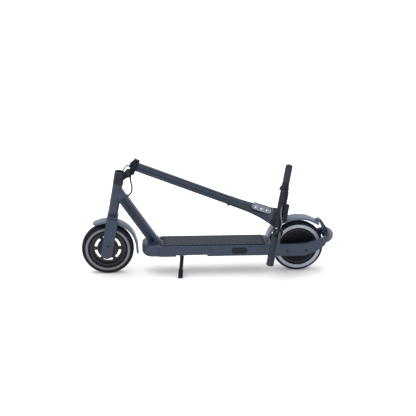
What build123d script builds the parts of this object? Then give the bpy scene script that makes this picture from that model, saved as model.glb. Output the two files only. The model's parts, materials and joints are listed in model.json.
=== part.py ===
from build123d import *
import os
from math import sin, cos, radians, sqrt, degrees

os.makedirs("parts", exist_ok=True)

# Folding electric kick scooter, stored pose: stem folded back over the deck,
# handlebar swivelled flat beside it, kickstand down.
# Origin: on the ground, midway between the two axles, in the centre plane.
# +X to the rear, -Y to the rider's left, +Z up.  Millimetres.

# ---------------- driving dimensions ----------------
WHEELBASE = 901.0
TYRE_R = 122.5            # ten inch tyre, outside radius
AXLE_Z = TYRE_R
FX = -WHEELBASE / 2       # front axle
RX = WHEELBASE / 2        # rear axle
RAKE = 10.4               # head axis, degrees from vertical
FOLD = 100.9              # stem travel, degrees
TWIST = 43.7              # handlebar swivel travel, degrees
DECK_W = 144.0            # deck width
DECK_TOP = 153.7          # top of the foot mat
DECK_BOT = 94.0
COLLAR_TOP = 382.0        # along the head axis, from the axle height
PIVOT_OFF = 39.0          # fold pin behind the head axis
PIVOT_W = 383.0           # fold pin along the head axis
STEM_R = 21.5
STEM_TOP = 497.0          # stem length from the hinge face
BAR_S = 730.5             # handlebar along the stem axis
BAR_FWD = 38.7            # handlebar ahead of the stem axis
BAR_HALF = 273.5
BAR_R = 11.1
CLR = 0.4                 # gap between pieces that move past each other

HW = DECK_W / 2


def gx(x):
    # distance behind the front axle -> X
    return FX + x


def V(x, y, z):
    return Vector(x, y, z)


def turn(v, ang, about):
    # turn a point about a line parallel to Y, clockwise seen from the left side
    t = radians(ang)
    d = v - about
    return about + Vector(d.X * cos(t) + d.Z * sin(t), d.Y, -d.X * sin(t) + d.Z * cos(t))


# ---------------- axes and planes ----------------
r_ = radians(RAKE)
H0 = V(gx(-3.3), 0, AXLE_Z)
HA = V(sin(r_), 0, cos(r_))            # head axis, up
HP = V(cos(r_), 0, -sin(r_))           # to the rear, square to it
HEAD = Plane(origin=H0, x_dir=HP, z_dir=HA)
PIN = H0 + HA * PIVOT_W + HP * PIVOT_OFF

ZERO = V(0, 0, 0)
SD = turn(HA, FOLD, ZERO)              # stem direction when folded
SU = turn(HP, FOLD, ZERO) * -1         # stem's front side, points up when folded
B0 = turn(H0 + HA * COLLAR_TOP, FOLD, PIN)
RIGHT = V(0, 1, 0)
STEM = Plane(origin=B0, x_dir=RIGHT, z_dir=SD)          # x right, y front, z along
STEM_SIDE = Plane(origin=B0, x_dir=SD, z_dir=V(0, -1, 0))  # x along, y front

t_ = radians(TWIST)
BU = RIGHT * cos(t_) + SU * sin(t_)    # handlebar, rider's right
BF = SD.cross(BU)                      # handlebar, forward
BAR = Plane(origin=B0, x_dir=BU, z_dir=SD)              # x right, y forward, z up the stem
BARC = B0 + BF * BAR_FWD + SD * BAR_S


def bar_pt(x, y, t):
    # x right, y forward, t above the handlebar's own axis
    return B0 + BU * x + BF * y + SD * (BAR_S + t)


def bar_cross(x):
    # plane square to the handlebar at x: local x forward, local y up the stem
    return Plane(origin=BARC + BU * x, x_dir=BF, z_dir=BU)


def side(pts):
    # (distance behind the front axle, height) -> sketch points in the XZ plane
    return [(gx(a), b) for a, b in pts]


def make(part, label):
    part.label = label
    export_step(part, "parts/" + label + ".step")


# =====================================================================
# FRAME
# =====================================================================
HT0, HT1 = 178.3, 320.8
DT_DIR = V(0.557, 0, -0.830).normalized()
DT_N = V(0.830, 0, 0.557).normalized()
DT_C = V(gx(44.6), 0, 415.5)            # on the down tube's centre line, inside the head tube
DT = Plane(origin=DT_C, x_dir=RIGHT, z_dir=DT_DIR)

with BuildPart() as head_tube:
    with BuildSketch(HEAD.offset(HT0)):
        Circle(23.25)
    extrude(amount=HT1 - HT0)
    with BuildSketch(HEAD.offset(HT0)):
        Circle(17.0)
    extrude(amount=HT1 - HT0, mode=Mode.SUBTRACT)
make(head_tube.part, "head_tube")

with BuildPart() as headset_cups:
    with BuildSketch(HEAD.offset(HT0 - 7.0)):
        Circle(23.0)
        Circle(14.36, mode=Mode.SUBTRACT)
    extrude(amount=7.0)
    with BuildSketch(HEAD.offset(HT0)):
        Circle(17.0)
        Circle(14.36, mode=Mode.SUBTRACT)
    extrude(amount=6.0)
    with BuildSketch(HEAD.offset(HT1)):
        Circle(24.0)
        Circle(14.36, mode=Mode.SUBTRACT)
    extrude(amount=4.0)
    with BuildSketch(HEAD.offset(HT1 - 6.0)):
        Circle(17.0)
        Circle(14.36, mode=Mode.SUBTRACT)
    extrude(amount=6.0)
make(headset_cups.part, "headset_cups")

# the down tube runs from the head tube to inside the deck nose
NOSE0, NOSE1 = 161.0, 240.0
DT_LEN = 349.0
with BuildPart() as down_tube:
    with BuildSketch(DT.offset(8.0)):
        RectangleRounded(50, 46, 11)
    extrude(amount=DT_LEN - 8.0)
    with BuildSketch(DT.offset(8.0)):
        RectangleRounded(44, 40, 8)
    extrude(amount=DT_LEN - 8.0, mode=Mode.SUBTRACT)
    with BuildSketch(HEAD.offset(150)):
        Circle(23.25)
    extrude(amount=260, mode=Mode.SUBTRACT)
    # drop what would stand in front of the head tube
    with BuildSketch(Plane(origin=H0 + HA * 150 - HP * 40, x_dir=HP, z_dir=HA)):
        Rectangle(80, 80)
    extrude(amount=260, mode=Mode.SUBTRACT)
    # seat on the deck
    with BuildSketch(Plane.XY.offset(DECK_BOT)):
        with Locations((gx(NOSE1 - 0.3 + 50), 0)):
            Rectangle(100, 100)
    extrude(amount=150.3 - DECK_BOT, mode=Mode.SUBTRACT)
    with BuildSketch(Plane.XY.offset(60)):
        with Locations((gx(200), 0)):
            Rectangle(400, 100)
    extrude(amount=112.0 - 60, mode=Mode.SUBTRACT)
    # wiring gland on the upper face
    with BuildSketch(Plane(origin=V(gx(97.0), 0, 378.7) - DT_N * 1.2, x_dir=RIGHT, z_dir=DT_N)):
        Circle(5.2)
    extrude(amount=8.2)
make(down_tube.part, "down_tube")

with BuildPart() as deck_nose:
    with BuildSketch(Plane.XY.offset(DECK_BOT + 1.0)) as s:
        with BuildLine():
            Polyline(
                (gx(NOSE1), -HW), (gx(NOSE0), -HW), (gx(NOSE0), HW), (gx(NOSE1), HW), close=True
            )
        make_face()
        fillet(s.vertices().group_by(Axis.X)[0], 56)
    extrude(amount=DECK_TOP - 1.7 - DECK_BOT - 1.0)
    fillet(
        deck_nose.edges().filter_by(lambda e: abs(e.center().Z - (DECK_BOT + 1.0)) < 0.1
                                    and e.center().X < gx(NOSE1) - 1.0),
        22,
    )
    fillet(
        deck_nose.edges().filter_by(lambda e: abs(e.center().Z - (DECK_TOP - 1.7)) < 0.1
                                    and e.center().X < gx(NOSE1) - 1.0),
        7,
    )
    # raised collar round the foot of the down tube
    with BuildSketch(DT.offset(DT_LEN - 42.0)):
        RectangleRounded(55, 51, 13)
    extrude(amount=30)
    # hollow inside, open to the rear
    with BuildSketch(Plane.XY.offset(DECK_BOT + 7)):
        with Locations((gx((NOSE0 + 16 + NOSE1 + 10) / 2), 0)):
            RectangleRounded(NOSE1 + 10 - NOSE0 - 16, 2 * HW - 16, 18)
    extrude(amount=40, mode=Mode.SUBTRACT)
    with BuildSketch(Plane.XY.offset(DECK_BOT + 7)):
        with Locations((gx(NOSE1 - 10), 0)):
            Rectangle(40, 2 * HW - 16)
    extrude(amount=40, mode=Mode.SUBTRACT)
    with BuildSketch(Plane.YZ.offset(gx(NOSE1))):
        Rectangle(300, 2 * 150.3)
    extrude(amount=60, mode=Mode.SUBTRACT)
    with BuildSketch(DT.offset(0)):
        RectangleRounded(50, 46, 11)
    extrude(amount=DT_LEN + 40, mode=Mode.SUBTRACT)
make(deck_nose.part, "deck_nose")

DK0, DK1 = NOSE1, 770.0
NOTCH = (320.0, 466.0)
with BuildPart() as deck_channel:
    with BuildSketch(Plane.YZ.offset(gx(DK0))) as s:
        with Locations((0, (97.0 + 150.0) / 2)):
            Rectangle(2 * HW, 53.0)
        fillet(s.vertices().group_by(Axis.Y)[0], 11)
        fillet(s.vertices().group_by(Axis.Y)[-1], 6)
        with Locations((0, 120.0)):
            Rectangle(2 * HW - 9, 51.0, mode=Mode.SUBTRACT)
        with Locations((0, 96.0)):
            Rectangle(2 * HW - 26, 20.0, mode=Mode.SUBTRACT)
    extrude(amount=DK1 - DK0)
    # closing wall at the rear
    with BuildSketch(Plane.YZ.offset(gx(DK1 - 5))) as s2:
        with Locations((0, (97.0 + 150.0) / 2)):
            Rectangle(2 * HW - 10, 53.0)
    extrude(amount=5)
    # recess for the kickstand, left side
    with BuildSketch(Plane.XY.offset(80)):
        with Locations((gx((NOTCH[0] + NOTCH[1]) / 2), -HW)):
            Rectangle(NOTCH[1] - NOTCH[0], 60)
    extrude(amount=28.0, mode=Mode.SUBTRACT)
    # charging port hole
    with BuildSketch(Plane.XZ.offset(HW - 10)):
        with Locations((gx(622.0), 125.5)):
            Circle(8.0)
    extrude(amount=20, mode=Mode.SUBTRACT)
make(deck_channel.part, "deck_channel")

with BuildPart() as deck_mat:
    with BuildSketch(Plane.XY.offset(150.0)):
        with Locations((gx((246 + 741) / 2), 0)):
            RectangleRounded(741 - 246, 2 * HW - 16, 14)
        with Locations((gx(246), 0)):
            RectangleRounded(30, 66, 12, mode=Mode.SUBTRACT)
    extrude(amount=DECK_TOP - 150.0)
    fillet(deck_mat.faces().sort_by(Axis.Z)[-1].edges(), 1.2)
make(deck_mat.part, "deck_mat")

with BuildPart() as bottom_cover:
    with BuildSketch(Plane.XY.offset(DECK_BOT)):
        with Locations((gx((246 + 762) / 2), 0)):
            RectangleRounded(762 - 246, 2 * HW - 28, 6)
        with Locations((gx((NOTCH[0] + NOTCH[1]) / 2), -HW)):
            Rectangle(NOTCH[1] - NOTCH[0] + 2, 62, mode=Mode.SUBTRACT)
    extrude(amount=3.0)
make(bottom_cover.part, "bottom_cover")

with BuildPart() as battery_pack:
    with BuildSketch(Plane.XY.offset(101.0)):
        with Locations((gx(612), 4.0)):
            RectangleRounded(276, 108, 8)
    extrude(amount=41.0)
    fillet(battery_pack.edges().filter_by(GeomType.LINE).filter_by(Axis.X), 4)
make(battery_pack.part, "battery_pack")

with BuildPart() as controller:
    with BuildSketch(Plane.XY.offset(112.0)):
        with Locations((gx(375), 14.0)):
            RectangleRounded(130, 78, 4)
    extrude(amount=26.0)
    with BuildSketch(Plane.XY.offset(138.0)):
        with Locations(*[(gx(375) + k * 15 - 52.5, 14.0) for k in range(8)]):
            Rectangle(4, 70)
    extrude(amount=5.0)
make(controller.part, "controller")

# charging socket in the left wall
with BuildPart() as charge_socket:
    with BuildSketch(Plane.XZ.offset(HW - 22)):
        with Locations((gx(622.0), 125.5)):
            Circle(8.0)
    extrude(amount=21.5)
    with BuildSketch(Plane.XZ.offset(HW - 12)):
        with Locations((gx(622.0), 125.5)):
            Circle(5.6)
            Circle(1.4, mode=Mode.SUBTRACT)
    extrude(amount=12, mode=Mode.SUBTRACT)
make(charge_socket.part, "charge_socket")

# kickstand bracket: two ears and a top plate inside the recess
KS = V(gx(347.0), -64.0, 95.0)          # pivot
KS_FOOT = V(gx(338.0), -90.0, 0.0)
KS_L0 = (KS_FOOT - KS).normalized()
KS_AX = KS_L0.cross(V(1, 0, 0)).normalized()     # hinge axis
KS_PL = Plane(origin=KS, x_dir=V(1, 0, 0), z_dir=KS_AX)   # z along the hinge axis, to the left
with BuildPart() as kickstand_bracket:
    with BuildSketch(KS_PL.offset(5.4)):
        with Locations((0, 0)):
            Circle(8.0)
    extrude(amount=3.0)
    with BuildSketch(KS_PL.offset(-8.4)):
        Circle(8.0)
    extrude(amount=3.0)
    with BuildSketch(KS_PL.offset(-8.6)):
        Circle(3.0)
    extrude(amount=17.2)
    # foot of the ears, behind and in front of the leg
    with BuildSketch(Plane.XY.offset(105.2)):
        with Locations((gx(347.0), -60.5)):
            Rectangle(34, 22)
    extrude(amount=2.8)
    with BuildSketch(KS_PL.offset(5.4)):
        with Locations((0, -6)):
            Rectangle(16, 12)
    extrude(amount=3.0)
    with BuildSketch(KS_PL.offset(-8.4)):
        with Locations((0, -6)):
            Rectangle(16, 12)
    extrude(amount=3.0)
    with BuildSketch(Plane.XY.offset(108.0)):
        with Locations((gx(347.0), -60.5)):
            Rectangle(60, 60)
    extrude(amount=30, mode=Mode.SUBTRACT)
make(kickstand_bracket.part, "kickstand_bracket")

# ---- rear end ----
ARM_IN, ARM_OUT = 62.0, 75.0
TAIL_X0, LOOP_C, LOOP_R = 1026.0, 992.0, 75.0
ARM_SIDE = [
    (DK1, 95.5), (925, 95.5), (975, 114.0), (1007, 134.0), (1037, 157.0), (1068, 161.0),
    (1068, 192.0), (1046, 193.5), (1026, 187.0), (1005, 178.5), (965, 166.5), (928, 157.0),
    (895, 154.5), (DK1, 154.5),
]
yo = sqrt(LOOP_R**2 - (TAIL_X0 - LOOP_C) ** 2)
with BuildPart() as rear_arms:
    with BuildSketch(Plane.XZ) as s:
        with BuildLine():
            Polyline(*side(ARM_SIDE), close=True)
        make_face()
    extrude(amount=90, both=True)
    with BuildSketch(Plane.XY.offset(60)):
        for sg in (-1, 1):
            with BuildLine():
                Polyline((gx(LOOP_C), sg * LOOP_R), (gx(DK1 + 0.2), sg * ARM_OUT),
                         (gx(DK1 + 0.2), sg * ARM_IN), (gx(985), sg * ARM_IN),
                         (gx(TAIL_X0 - 0.2), sg * 50.0), (gx(TAIL_X0 - 0.2), sg * (yo + 0.1)))
                ThreePointArc((gx(TAIL_X0 - 0.2), sg * (yo + 0.1)),
                              (gx(LOOP_C + 75.05 * sin(radians(13))), sg * 75.05 * cos(radians(13))),
                              (gx(LOOP_C), sg * LOOP_R))
            make_face()
    extrude(amount=180, mode=Mode.INTERSECT)
    # axle slots on the inner side
    with BuildSketch(Plane.XZ.offset(-71)):
        with Locations((RX, AXLE_Z)):
            Circle(6.0)
    extrude(amount=142, mode=Mode.SUBTRACT)
    # countersunk bolt seats
    with BuildSketch(Plane.XZ.offset(-80)):
        with Locations((gx(843.4), 119.5), (gx(933.2), 120.9)):
            Circle(3.0)
    extrude(amount=160, mode=Mode.SUBTRACT)
make(rear_arms.part, "rear_arms")

with BuildPart() as tail_bridge:
    with BuildSketch(Plane.XZ):
        with BuildLine():
            Polyline(*side([(1026, 156.0), (1037, 157.0), (1068, 161.0), (1068, 191.0),
                            (1046, 194.0), (1026, 187.5)]), close=True)
        make_face()
    extrude(amount=90, both=True)
    with BuildSketch(Plane.XY.offset(100)):
        with BuildLine():
            Line((gx(TAIL_X0), yo), (gx(TAIL_X0), -yo))
            ThreePointArc((gx(TAIL_X0), -yo), (gx(LOOP_C + LOOP_R), 0), (gx(TAIL_X0), yo))
        make_face()
    extrude(amount=140, mode=Mode.INTERSECT)
    # pocket for the tail light
    with BuildSketch(Plane.XY.offset(165.0)):
        with BuildLine():
            Polyline((gx(1100), 40), (gx(1030), 40), (gx(1030), -40), (gx(1100), -40), close=True)
        make_face()
        with Locations((gx(LOOP_C), 0)):
            Circle(70.0, mode=Mode.SUBTRACT)
    extrude(amount=20.0, mode=Mode.SUBTRACT)
make(tail_bridge.part, "tail_bridge")

with BuildPart() as tail_lens:
    with BuildSketch(Plane.XY.offset(165.0)):
        with Locations((gx(LOOP_C), 0)):
            Circle(78.5)
            Circle(70.0, mode=Mode.SUBTRACT)
        with BuildLine():
            Polyline((gx(1030), 40), (gx(1100), 40), (gx(1100), -40), (gx(1030), -40), close=True)
        make_face(mode=Mode.INTERSECT)
    extrude(amount=20.0)
make(tail_lens.part, "tail_lens")

# rear mudguard: a curved shell from the deck to behind the top of the wheel
GR = [(748.5, 154.0), (752, 178), (766, 206), (789, 231), (822, 253), (862, 266), (905, 270.5),
      (946, 264.5), (982, 248.5), (1000, 236.0)]
GR_IN = [(751.7, 154.0), (755.1, 177.2), (768.7, 204.3), (791.2, 228.6), (823.4, 250.1),
         (862.5, 262.8), (904.9, 267.3), (945.1, 261.4), (980.4, 245.7), (998.1, 233.4)]
with BuildPart() as rear_mudguard:
    with BuildSketch(Plane.XZ):
        with BuildLine():
            l1 = Spline(*side(GR))
            l2 = Spline(*side(GR_IN))
            Line(l1 @ 0, l2 @ 0)
            Line(l1 @ 1, l2 @ 1)
        make_face()
    extrude(amount=34, both=True)
    # side skirts
    with BuildSketch(Plane.XZ.offset(31.5)):
        with BuildLine():
            l3 = Spline(*side(GR_IN))
            l4 = Spline(*side([(758.0, 154.0), (761.5, 175.5), (774.5, 200.3), (796, 223),
                               (826.5, 243.4), (863.7, 255.6), (904.8, 260), (943, 254.5),
                               (976.6, 239.4), (993.6, 227.4)]))
            Line(l3 @ 0, l4 @ 0)
            Line(l3 @ 1, l4 @ 1)
        make_face()
    extrude(amount=2.5)
    with BuildSketch(Plane.XZ.offset(-34)):
        with BuildLine():
            l5 = Spline(*side(GR_IN))
            l6 = Spline(*side([(758.0, 154.0), (761.5, 175.5), (774.5, 200.3), (796, 223),
                               (826.5, 243.4), (863.7, 255.6), (904.8, 260), (943, 254.5),
                               (976.6, 239.4), (993.6, 227.4)]))
            Line(l5 @ 0, l6 @ 0)
            Line(l5 @ 1, l6 @ 1)
        make_face()
    extrude(amount=2.5)
make(rear_mudguard.part, "rear_mudguard")

# stay: hook boss on the guard and a strut down to the tail bridge
with BuildPart() as mudguard_stay:
    with BuildSketch(Plane.XZ):
        with BuildLine():
            Polyline(*side([(984.2, 250.0), (1000.6, 238.8), (1003.5, 242.5), (1003.0, 249.5),
                            (996.5, 256.5), (988.0, 257.0)]), close=True)
        make_face()
    extrude(amount=9, both=True)
    with BuildSketch(Plane.XZ):
        with BuildLine():
            Polyline(*side([(1000.6, 239.2), (1003.4, 248.5), (1011.5, 250.0), (1044.0, 201.5),
                            (1042.8, 193.0), (1027.5, 188.02)]), close=True)
        make_face()
    extrude(amount=9, both=True)
make(mudguard_stay.part, "mudguard_stay")

with BuildPart() as rear_axle:
    with BuildSketch(Plane.XZ.offset(-71.0)):
        with Locations((RX, AXLE_Z)):
            Circle(6.0)
    extrude(amount=142.0)
    # lock nuts inside the arms
    with BuildSketch(Plane.XZ.offset(50.0)):
        with Locations((RX, AXLE_Z)):
            RegularPolygon(11.0, 6)
    extrude(amount=11.9)
    with BuildSketch(Plane.XZ.offset(-61.9)):
        with Locations((RX, AXLE_Z)):
            RegularPolygon(11.0, 6)
    extrude(amount=11.9)
make(rear_axle.part, "rear_axle")

with BuildPart() as motor_stator:
    with BuildSketch(Plane.XZ.offset(-11.0)):
        with Locations((RX, AXLE_Z)):
            Circle(60.0)
            Circle(6.0, mode=Mode.SUBTRACT)
    extrude(amount=22.0)
    with BuildSketch(Plane.XZ.offset(-12.0)):
        with Locations((RX, AXLE_Z)):
            with PolarLocations(54, 18):
                Rectangle(20, 4.5)
    extrude(amount=24.0, mode=Mode.SUBTRACT)
make(motor_stator.part, "motor_stator")

with BuildPart() as arm_bolts:
    for sg in (-1, 1):
        with BuildSketch(Plane(origin=V(0, sg * ARM_OUT, 0), x_dir=V(1, 0, 0), z_dir=V(0, sg, 0))) as s:
            with Locations((gx(843.4), -sg * 119.5 if sg > 0 else 119.5),
                           (gx(933.2), -sg * 120.9 if sg > 0 else 120.9)):
                Circle(4.6)
                RegularPolygon(2.0, 6, mode=Mode.SUBTRACT)
        extrude(amount=1.8)
        with BuildSketch(Plane(origin=V(0, sg * ARM_OUT, 0), x_dir=V(1, 0, 0), z_dir=V(0, sg, 0))) as s:
            with Locations((gx(843.4), -sg * 119.5 if sg > 0 else 119.5),
                           (gx(933.2), -sg * 120.9 if sg > 0 else 120.9)):
                Circle(3.0)
        extrude(amount=-13.0)
make(arm_bolts.part, "arm_bolts")

# =====================================================================
# FORK AND STEERING
# =====================================================================
CR0, CR1 = 149.0, 171.0
LEG_TOP = 161.0
with BuildPart() as steerer_tube:
    with BuildSketch(HEAD.offset(CR0)):
        Circle(14.3)
        Circle(11.0, mode=Mode.SUBTRACT)
    extrude(amount=352.0 - CR0)
make(steerer_tube.part, "steerer_tube")

with BuildPart() as fork_crown:
    with BuildSketch(HEAD.offset(CR0)) as s:
        RectangleRounded(50, 100, 12)
    extrude(amount=CR1 - CR0 - 0.3)
    fillet(fork_crown.faces().sort_by(SortBy.DISTANCE, reverse=True).filter_by(
        lambda f: f.normal_at().dot(HA) > 0.99).edges(), 5)
    with BuildSketch(HEAD.offset(CR0)):
        Circle(14.3)
    extrude(amount=CR1 - CR0, mode=Mode.SUBTRACT)
make(fork_crown.part, "fork_crown")

AX_U, AX_W = 3.3 * cos(r_), 3.3 * sin(r_)     # the axle in the head plane's own x and z
with BuildPart() as fork_legs:
    for sg in (-1, 1):
        with BuildSketch(Plane(origin=H0 + V(0, sg * 38.0, 0), x_dir=HP * -sg, z_dir=V(0, sg, 0))) as s:
            with Locations((-sg * 2.6, (CR0 - 18) / 2)):
                Rectangle(38, CR0 + 18)
            with Locations((-sg * AX_U, AX_W)):
                Circle(5.0, mode=Mode.SUBTRACT)
        extrude(amount=12.0)
make(fork_legs.part, "fork_legs")

with BuildPart() as leg_covers:
    for sg in (-1, 1):
        with BuildSketch(Plane(origin=H0 + V(0, sg * 50.0, 0), x_dir=HP * -sg, z_dir=V(0, sg, 0))) as s:
            with Locations((-sg * 1.5, (LEG_TOP - 8) / 2)):
                Rectangle(53.0, LEG_TOP + 8)
            with Locations((-sg * 1.5, -8.0)):
                Circle(26.5)
            with Locations((-sg * AX_U, AX_W)):
                Circle(9.5, mode=Mode.SUBTRACT)
        extrude(amount=4.6)
        with BuildSketch(Plane(origin=H0 + V(0, sg * 54.6, 0), x_dir=HP * -sg, z_dir=V(0, sg, 0))) as s:
            with Locations((-sg * 1.5, (LEG_TOP - 8) / 2)):
                Rectangle(53.0, LEG_TOP + 8)
            with Locations((-sg * 1.5, -8.0)):
                Circle(26.5)
        extrude(amount=3.6)
    fillet(leg_covers.faces().filter_by(lambda f: abs(abs(f.center().Y) - 58.2) < 0.05).edges(), 3.0)
make(leg_covers.part, "leg_covers")

with BuildPart() as front_axle:
    with BuildSketch(Plane.XZ.offset(-54.0)):
        with Locations((FX, AXLE_Z)):
            Circle(5.0)
    extrude(amount=108.0)
    with BuildSketch(Plane.XZ.offset(50.0)):
        with Locations((FX, AXLE_Z)):
            RegularPolygon(9.0, 6)
    extrude(amount=4.0)
    with BuildSketch(Plane.XZ.offset(-54.0)):
        with Locations((FX, AXLE_Z)):
            RegularPolygon(9.0, 6)
    extrude(amount=4.0)
make(front_axle.part, "front_axle")

# collar that clamps the steerer and takes the stem; open at the top
with BuildPart() as steering_collar:
    with BuildSketch(HEAD.offset(HT1 + 4.3)):
        Circle(24.0)
        Circle(14.3, mode=Mode.SUBTRACT)
    extrude(amount=352.0 - HT1 - 4.3)
    with BuildSketch(HEAD.offset(352.0)):
        Circle(24.0)
        Circle(19.5, mode=Mode.SUBTRACT)
    extrude(amount=COLLAR_TOP - 352.0)
    chamfer(steering_collar.edges().filter_by(GeomType.CIRCLE).sort_by(
        lambda e: e.center().dot(HA) + e.radius * 0.001)[-1], 1.0)
make(steering_collar.part, "steering_collar")

PX_, PZ_ = PIN.X, PIN.Z
with BuildPart() as hinge_bracket:
    with BuildSketch(Plane.XZ) as s:
        with BuildLine():
            Polyline(*side([(60, 448), (72, 452), (90, 467), (104, 472.5), (117.5, 476.5), (118.2, 492.2),
                            (104.2, 506.0), (92.5, 500.5), (86, 491.5), (70, 487), (60, 486)]),
                     close=True)
        make_face()
        with Locations((PX_, PZ_)):
            Circle(14.0)
    extrude(amount=16, both=True)
    with BuildSketch(Plane(origin=V(gx(112.0), 0, 468.0))):
        Circle(4.6)
    extrude(amount=9.0)
    with BuildSketch(HEAD.offset(250)):
        Circle(24.0)
    extrude(amount=200, mode=Mode.SUBTRACT)
    # slot for the stem's knuckle
    with BuildSketch(Plane.XZ):
        with BuildLine():
            Polyline(*side([(83.0, 479.8), (150, 479.8), (150, 540), (83.0, 540)]), close=True)
        make_face()
    extrude(amount=9.3, both=True, mode=Mode.SUBTRACT)
    with BuildSketch(Plane.XZ):
        with Locations((PX_, PZ_)):
            Circle(4.0)
    extrude(amount=20, both=True, mode=Mode.SUBTRACT)
    # clear of the collar's far side
    with BuildSketch(Plane(origin=H0 + HA * 300 - HP * 20, x_dir=HP, z_dir=HA)):
        Rectangle(40, 80)
    extrude(amount=150, mode=Mode.SUBTRACT)
make(hinge_bracket.part, "hinge_bracket")

with BuildPart() as hinge_pin:
    with BuildSketch(Plane.XZ.offset(-16.0)):
        with Locations((PX_, PZ_)):
            Circle(4.0)
    extrude(amount=32.0)
    with BuildSketch(Plane.XZ.offset(16.0)):
        with Locations((PX_, PZ_)):
            Circle(6.5)
            RegularPolygon(2.6, 6, mode=Mode.SUBTRACT)
    extrude(amount=3.0)
    with BuildSketch(Plane.XZ.offset(-19.0)):
        with Locations((PX_, PZ_)):
            RegularPolygon(6.5, 6)
    extrude(amount=3.0)
make(hinge_pin.part, "hinge_pin")

# front mudguard, an arc round the wheel
GF = [(-66.5, 249.0), (-35, 260.5), (0, 266.5), (25, 266.3), (60, 255.5), (98, 231.5), (126, 197.0),
      (140.5, 155.0), (143.5, 122.0), (145.5, 99.0)]
GF_IN = [(-65.6, 246.0), (-34.2, 257.4), (0.2, 263.3), (24.4, 263.1), (58.6, 252.6), (95.6, 229.3),
         (123.0, 195.6), (137.4, 154.5), (140.3, 122.0), (142.3, 99.2)]
GF_SK = [(-63.5, 240.5), (-32.4, 250.8), (0.5, 256.3), (23.2, 256.1), (55.6, 246.2), (90.5, 224.4),
         (116.6, 192.6), (130.5, 153.3), (133.4, 122.0), (135.5, 99.6)]
with BuildPart() as front_mudguard:
    with BuildSketch(Plane.XZ):
        with BuildLine():
            l1 = Spline(*side(GF))
            l2 = Spline(*side(GF_IN))
            Line(l1 @ 0, l2 @ 0)
            Line(l1 @ 1, l2 @ 1)
        make_face()
    extrude(amount=32, both=True)
    with BuildSketch(Plane.XZ.offset(29.5)):
        with BuildLine():
            l3 = Spline(*side(GF_IN))
            l4 = Spline(*side(GF_SK))
            Line(l3 @ 0, l4 @ 0)
            Line(l3 @ 1, l4 @ 1)
        make_face()
    extrude(amount=2.5)
    with BuildSketch(Plane.XZ.offset(-32)):
        with BuildLine():
            l5 = Spline(*side(GF_IN))
            l6 = Spline(*side(GF_SK))
            Line(l5 @ 0, l6 @ 0)
            Line(l5 @ 1, l6 @ 1)
        make_face()
    extrude(amount=2.5)
make(front_mudguard.part, "front_mudguard")

# brake back plate with its lever arm, right side of the front wheel
with BuildPart() as brake_plate:
    with BuildSketch(Plane.XZ.offset(-30.0)):
        with Locations((FX, AXLE_Z)):
            Circle(41.0)
            Circle(5.0, mode=Mode.SUBTRACT)
    extrude(amount=5.5)
    with BuildSketch(Plane.XZ.offset(-34.0)):
        with Locations((FX + 20, AXLE_Z + 34)):
            SlotOverall(46, 12, rotation=70)
    extrude(amount=4.0)
    with BuildSketch(Plane.XZ.offset(-37.6)):
        with Locations((FX, AXLE_Z)):
            Circle(9.0)
            Circle(5.0, mode=Mode.SUBTRACT)
    extrude(amount=7.6)
make(brake_plate.part, "brake_plate")

# wiring loop from the hinge bracket to the down tube's gland
LOOP = [V(gx(112.0), 0, 467.7), V(gx(113.2), 0, 451.0), V(gx(118.6), 0, 430.0), V(gx(119.2), 0, 407.0),
        V(gx(111.7), 0, 388.7), V(gx(97.0), 0, 378.7) + DT_N * 7.15]
LOOP_RAD = [26.0, 34.0, 26.0, 9.0]
with BuildPart() as wiring_loop:
    with BuildLine() as w:
        FilletPolyline(*LOOP, radius=LOOP_RAD)
    with BuildSketch(Plane(origin=LOOP[0], z_dir=(LOOP[1] - LOOP[0]).normalized())):
        Circle(2.7)
    sweep()
print("wiring loop length", round(w.line.length if hasattr(w.line, "length") else w.wires()[0].length, 1),
      "volume ratio", round(wiring_loop.part.volume / (w.wires()[0].length * 3.14159 * 2.7**2), 4))
make(wiring_loop.part, "wiring_loop")

# =====================================================================
# WHEELS
# =====================================================================
def wheel_axis(x):
    return Axis((x, 0, AXLE_Z), (0, 1, 0))


TYRE_HALF = [(84.0, 0), (84.0, 17.0), (88.0, 19.5), (92.5, 22.0), (109.5, 22.3), (116.0, 20.5),
             (120.5, 17.0), (122.5, 13.5), (122.5, 0)]
for name, cx in (("front_tyre", FX), ("rear_tyre", RX)):
    with BuildPart() as tyre:
        with BuildSketch(Plane(origin=V(cx, 0, AXLE_Z), x_dir=V(0, 0, 1), z_dir=V(-1, 0, 0))) as s:
            with BuildLine():
                Polyline(*[(a, b) for a, b in TYRE_HALF], *[(a, -b) for a, b in TYRE_HALF[::-1]][1:-1],
                         close=True)
            make_face()
        revolve(axis=wheel_axis(cx))
    make(tyre.part, name)

for name, cx in (("front_side_rings", FX), ("rear_side_rings", RX)):
    with BuildPart() as rings:
        for sg in (-1, 1):
            with BuildSketch(Plane(origin=V(cx, sg * 22.3, AXLE_Z), x_dir=V(1, 0, 0), z_dir=V(0, sg, 0))):
                Circle(109.0)
                Circle(93.5, mode=Mode.SUBTRACT)
            extrude(amount=1.0)
    make(rings.part, name)

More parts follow.
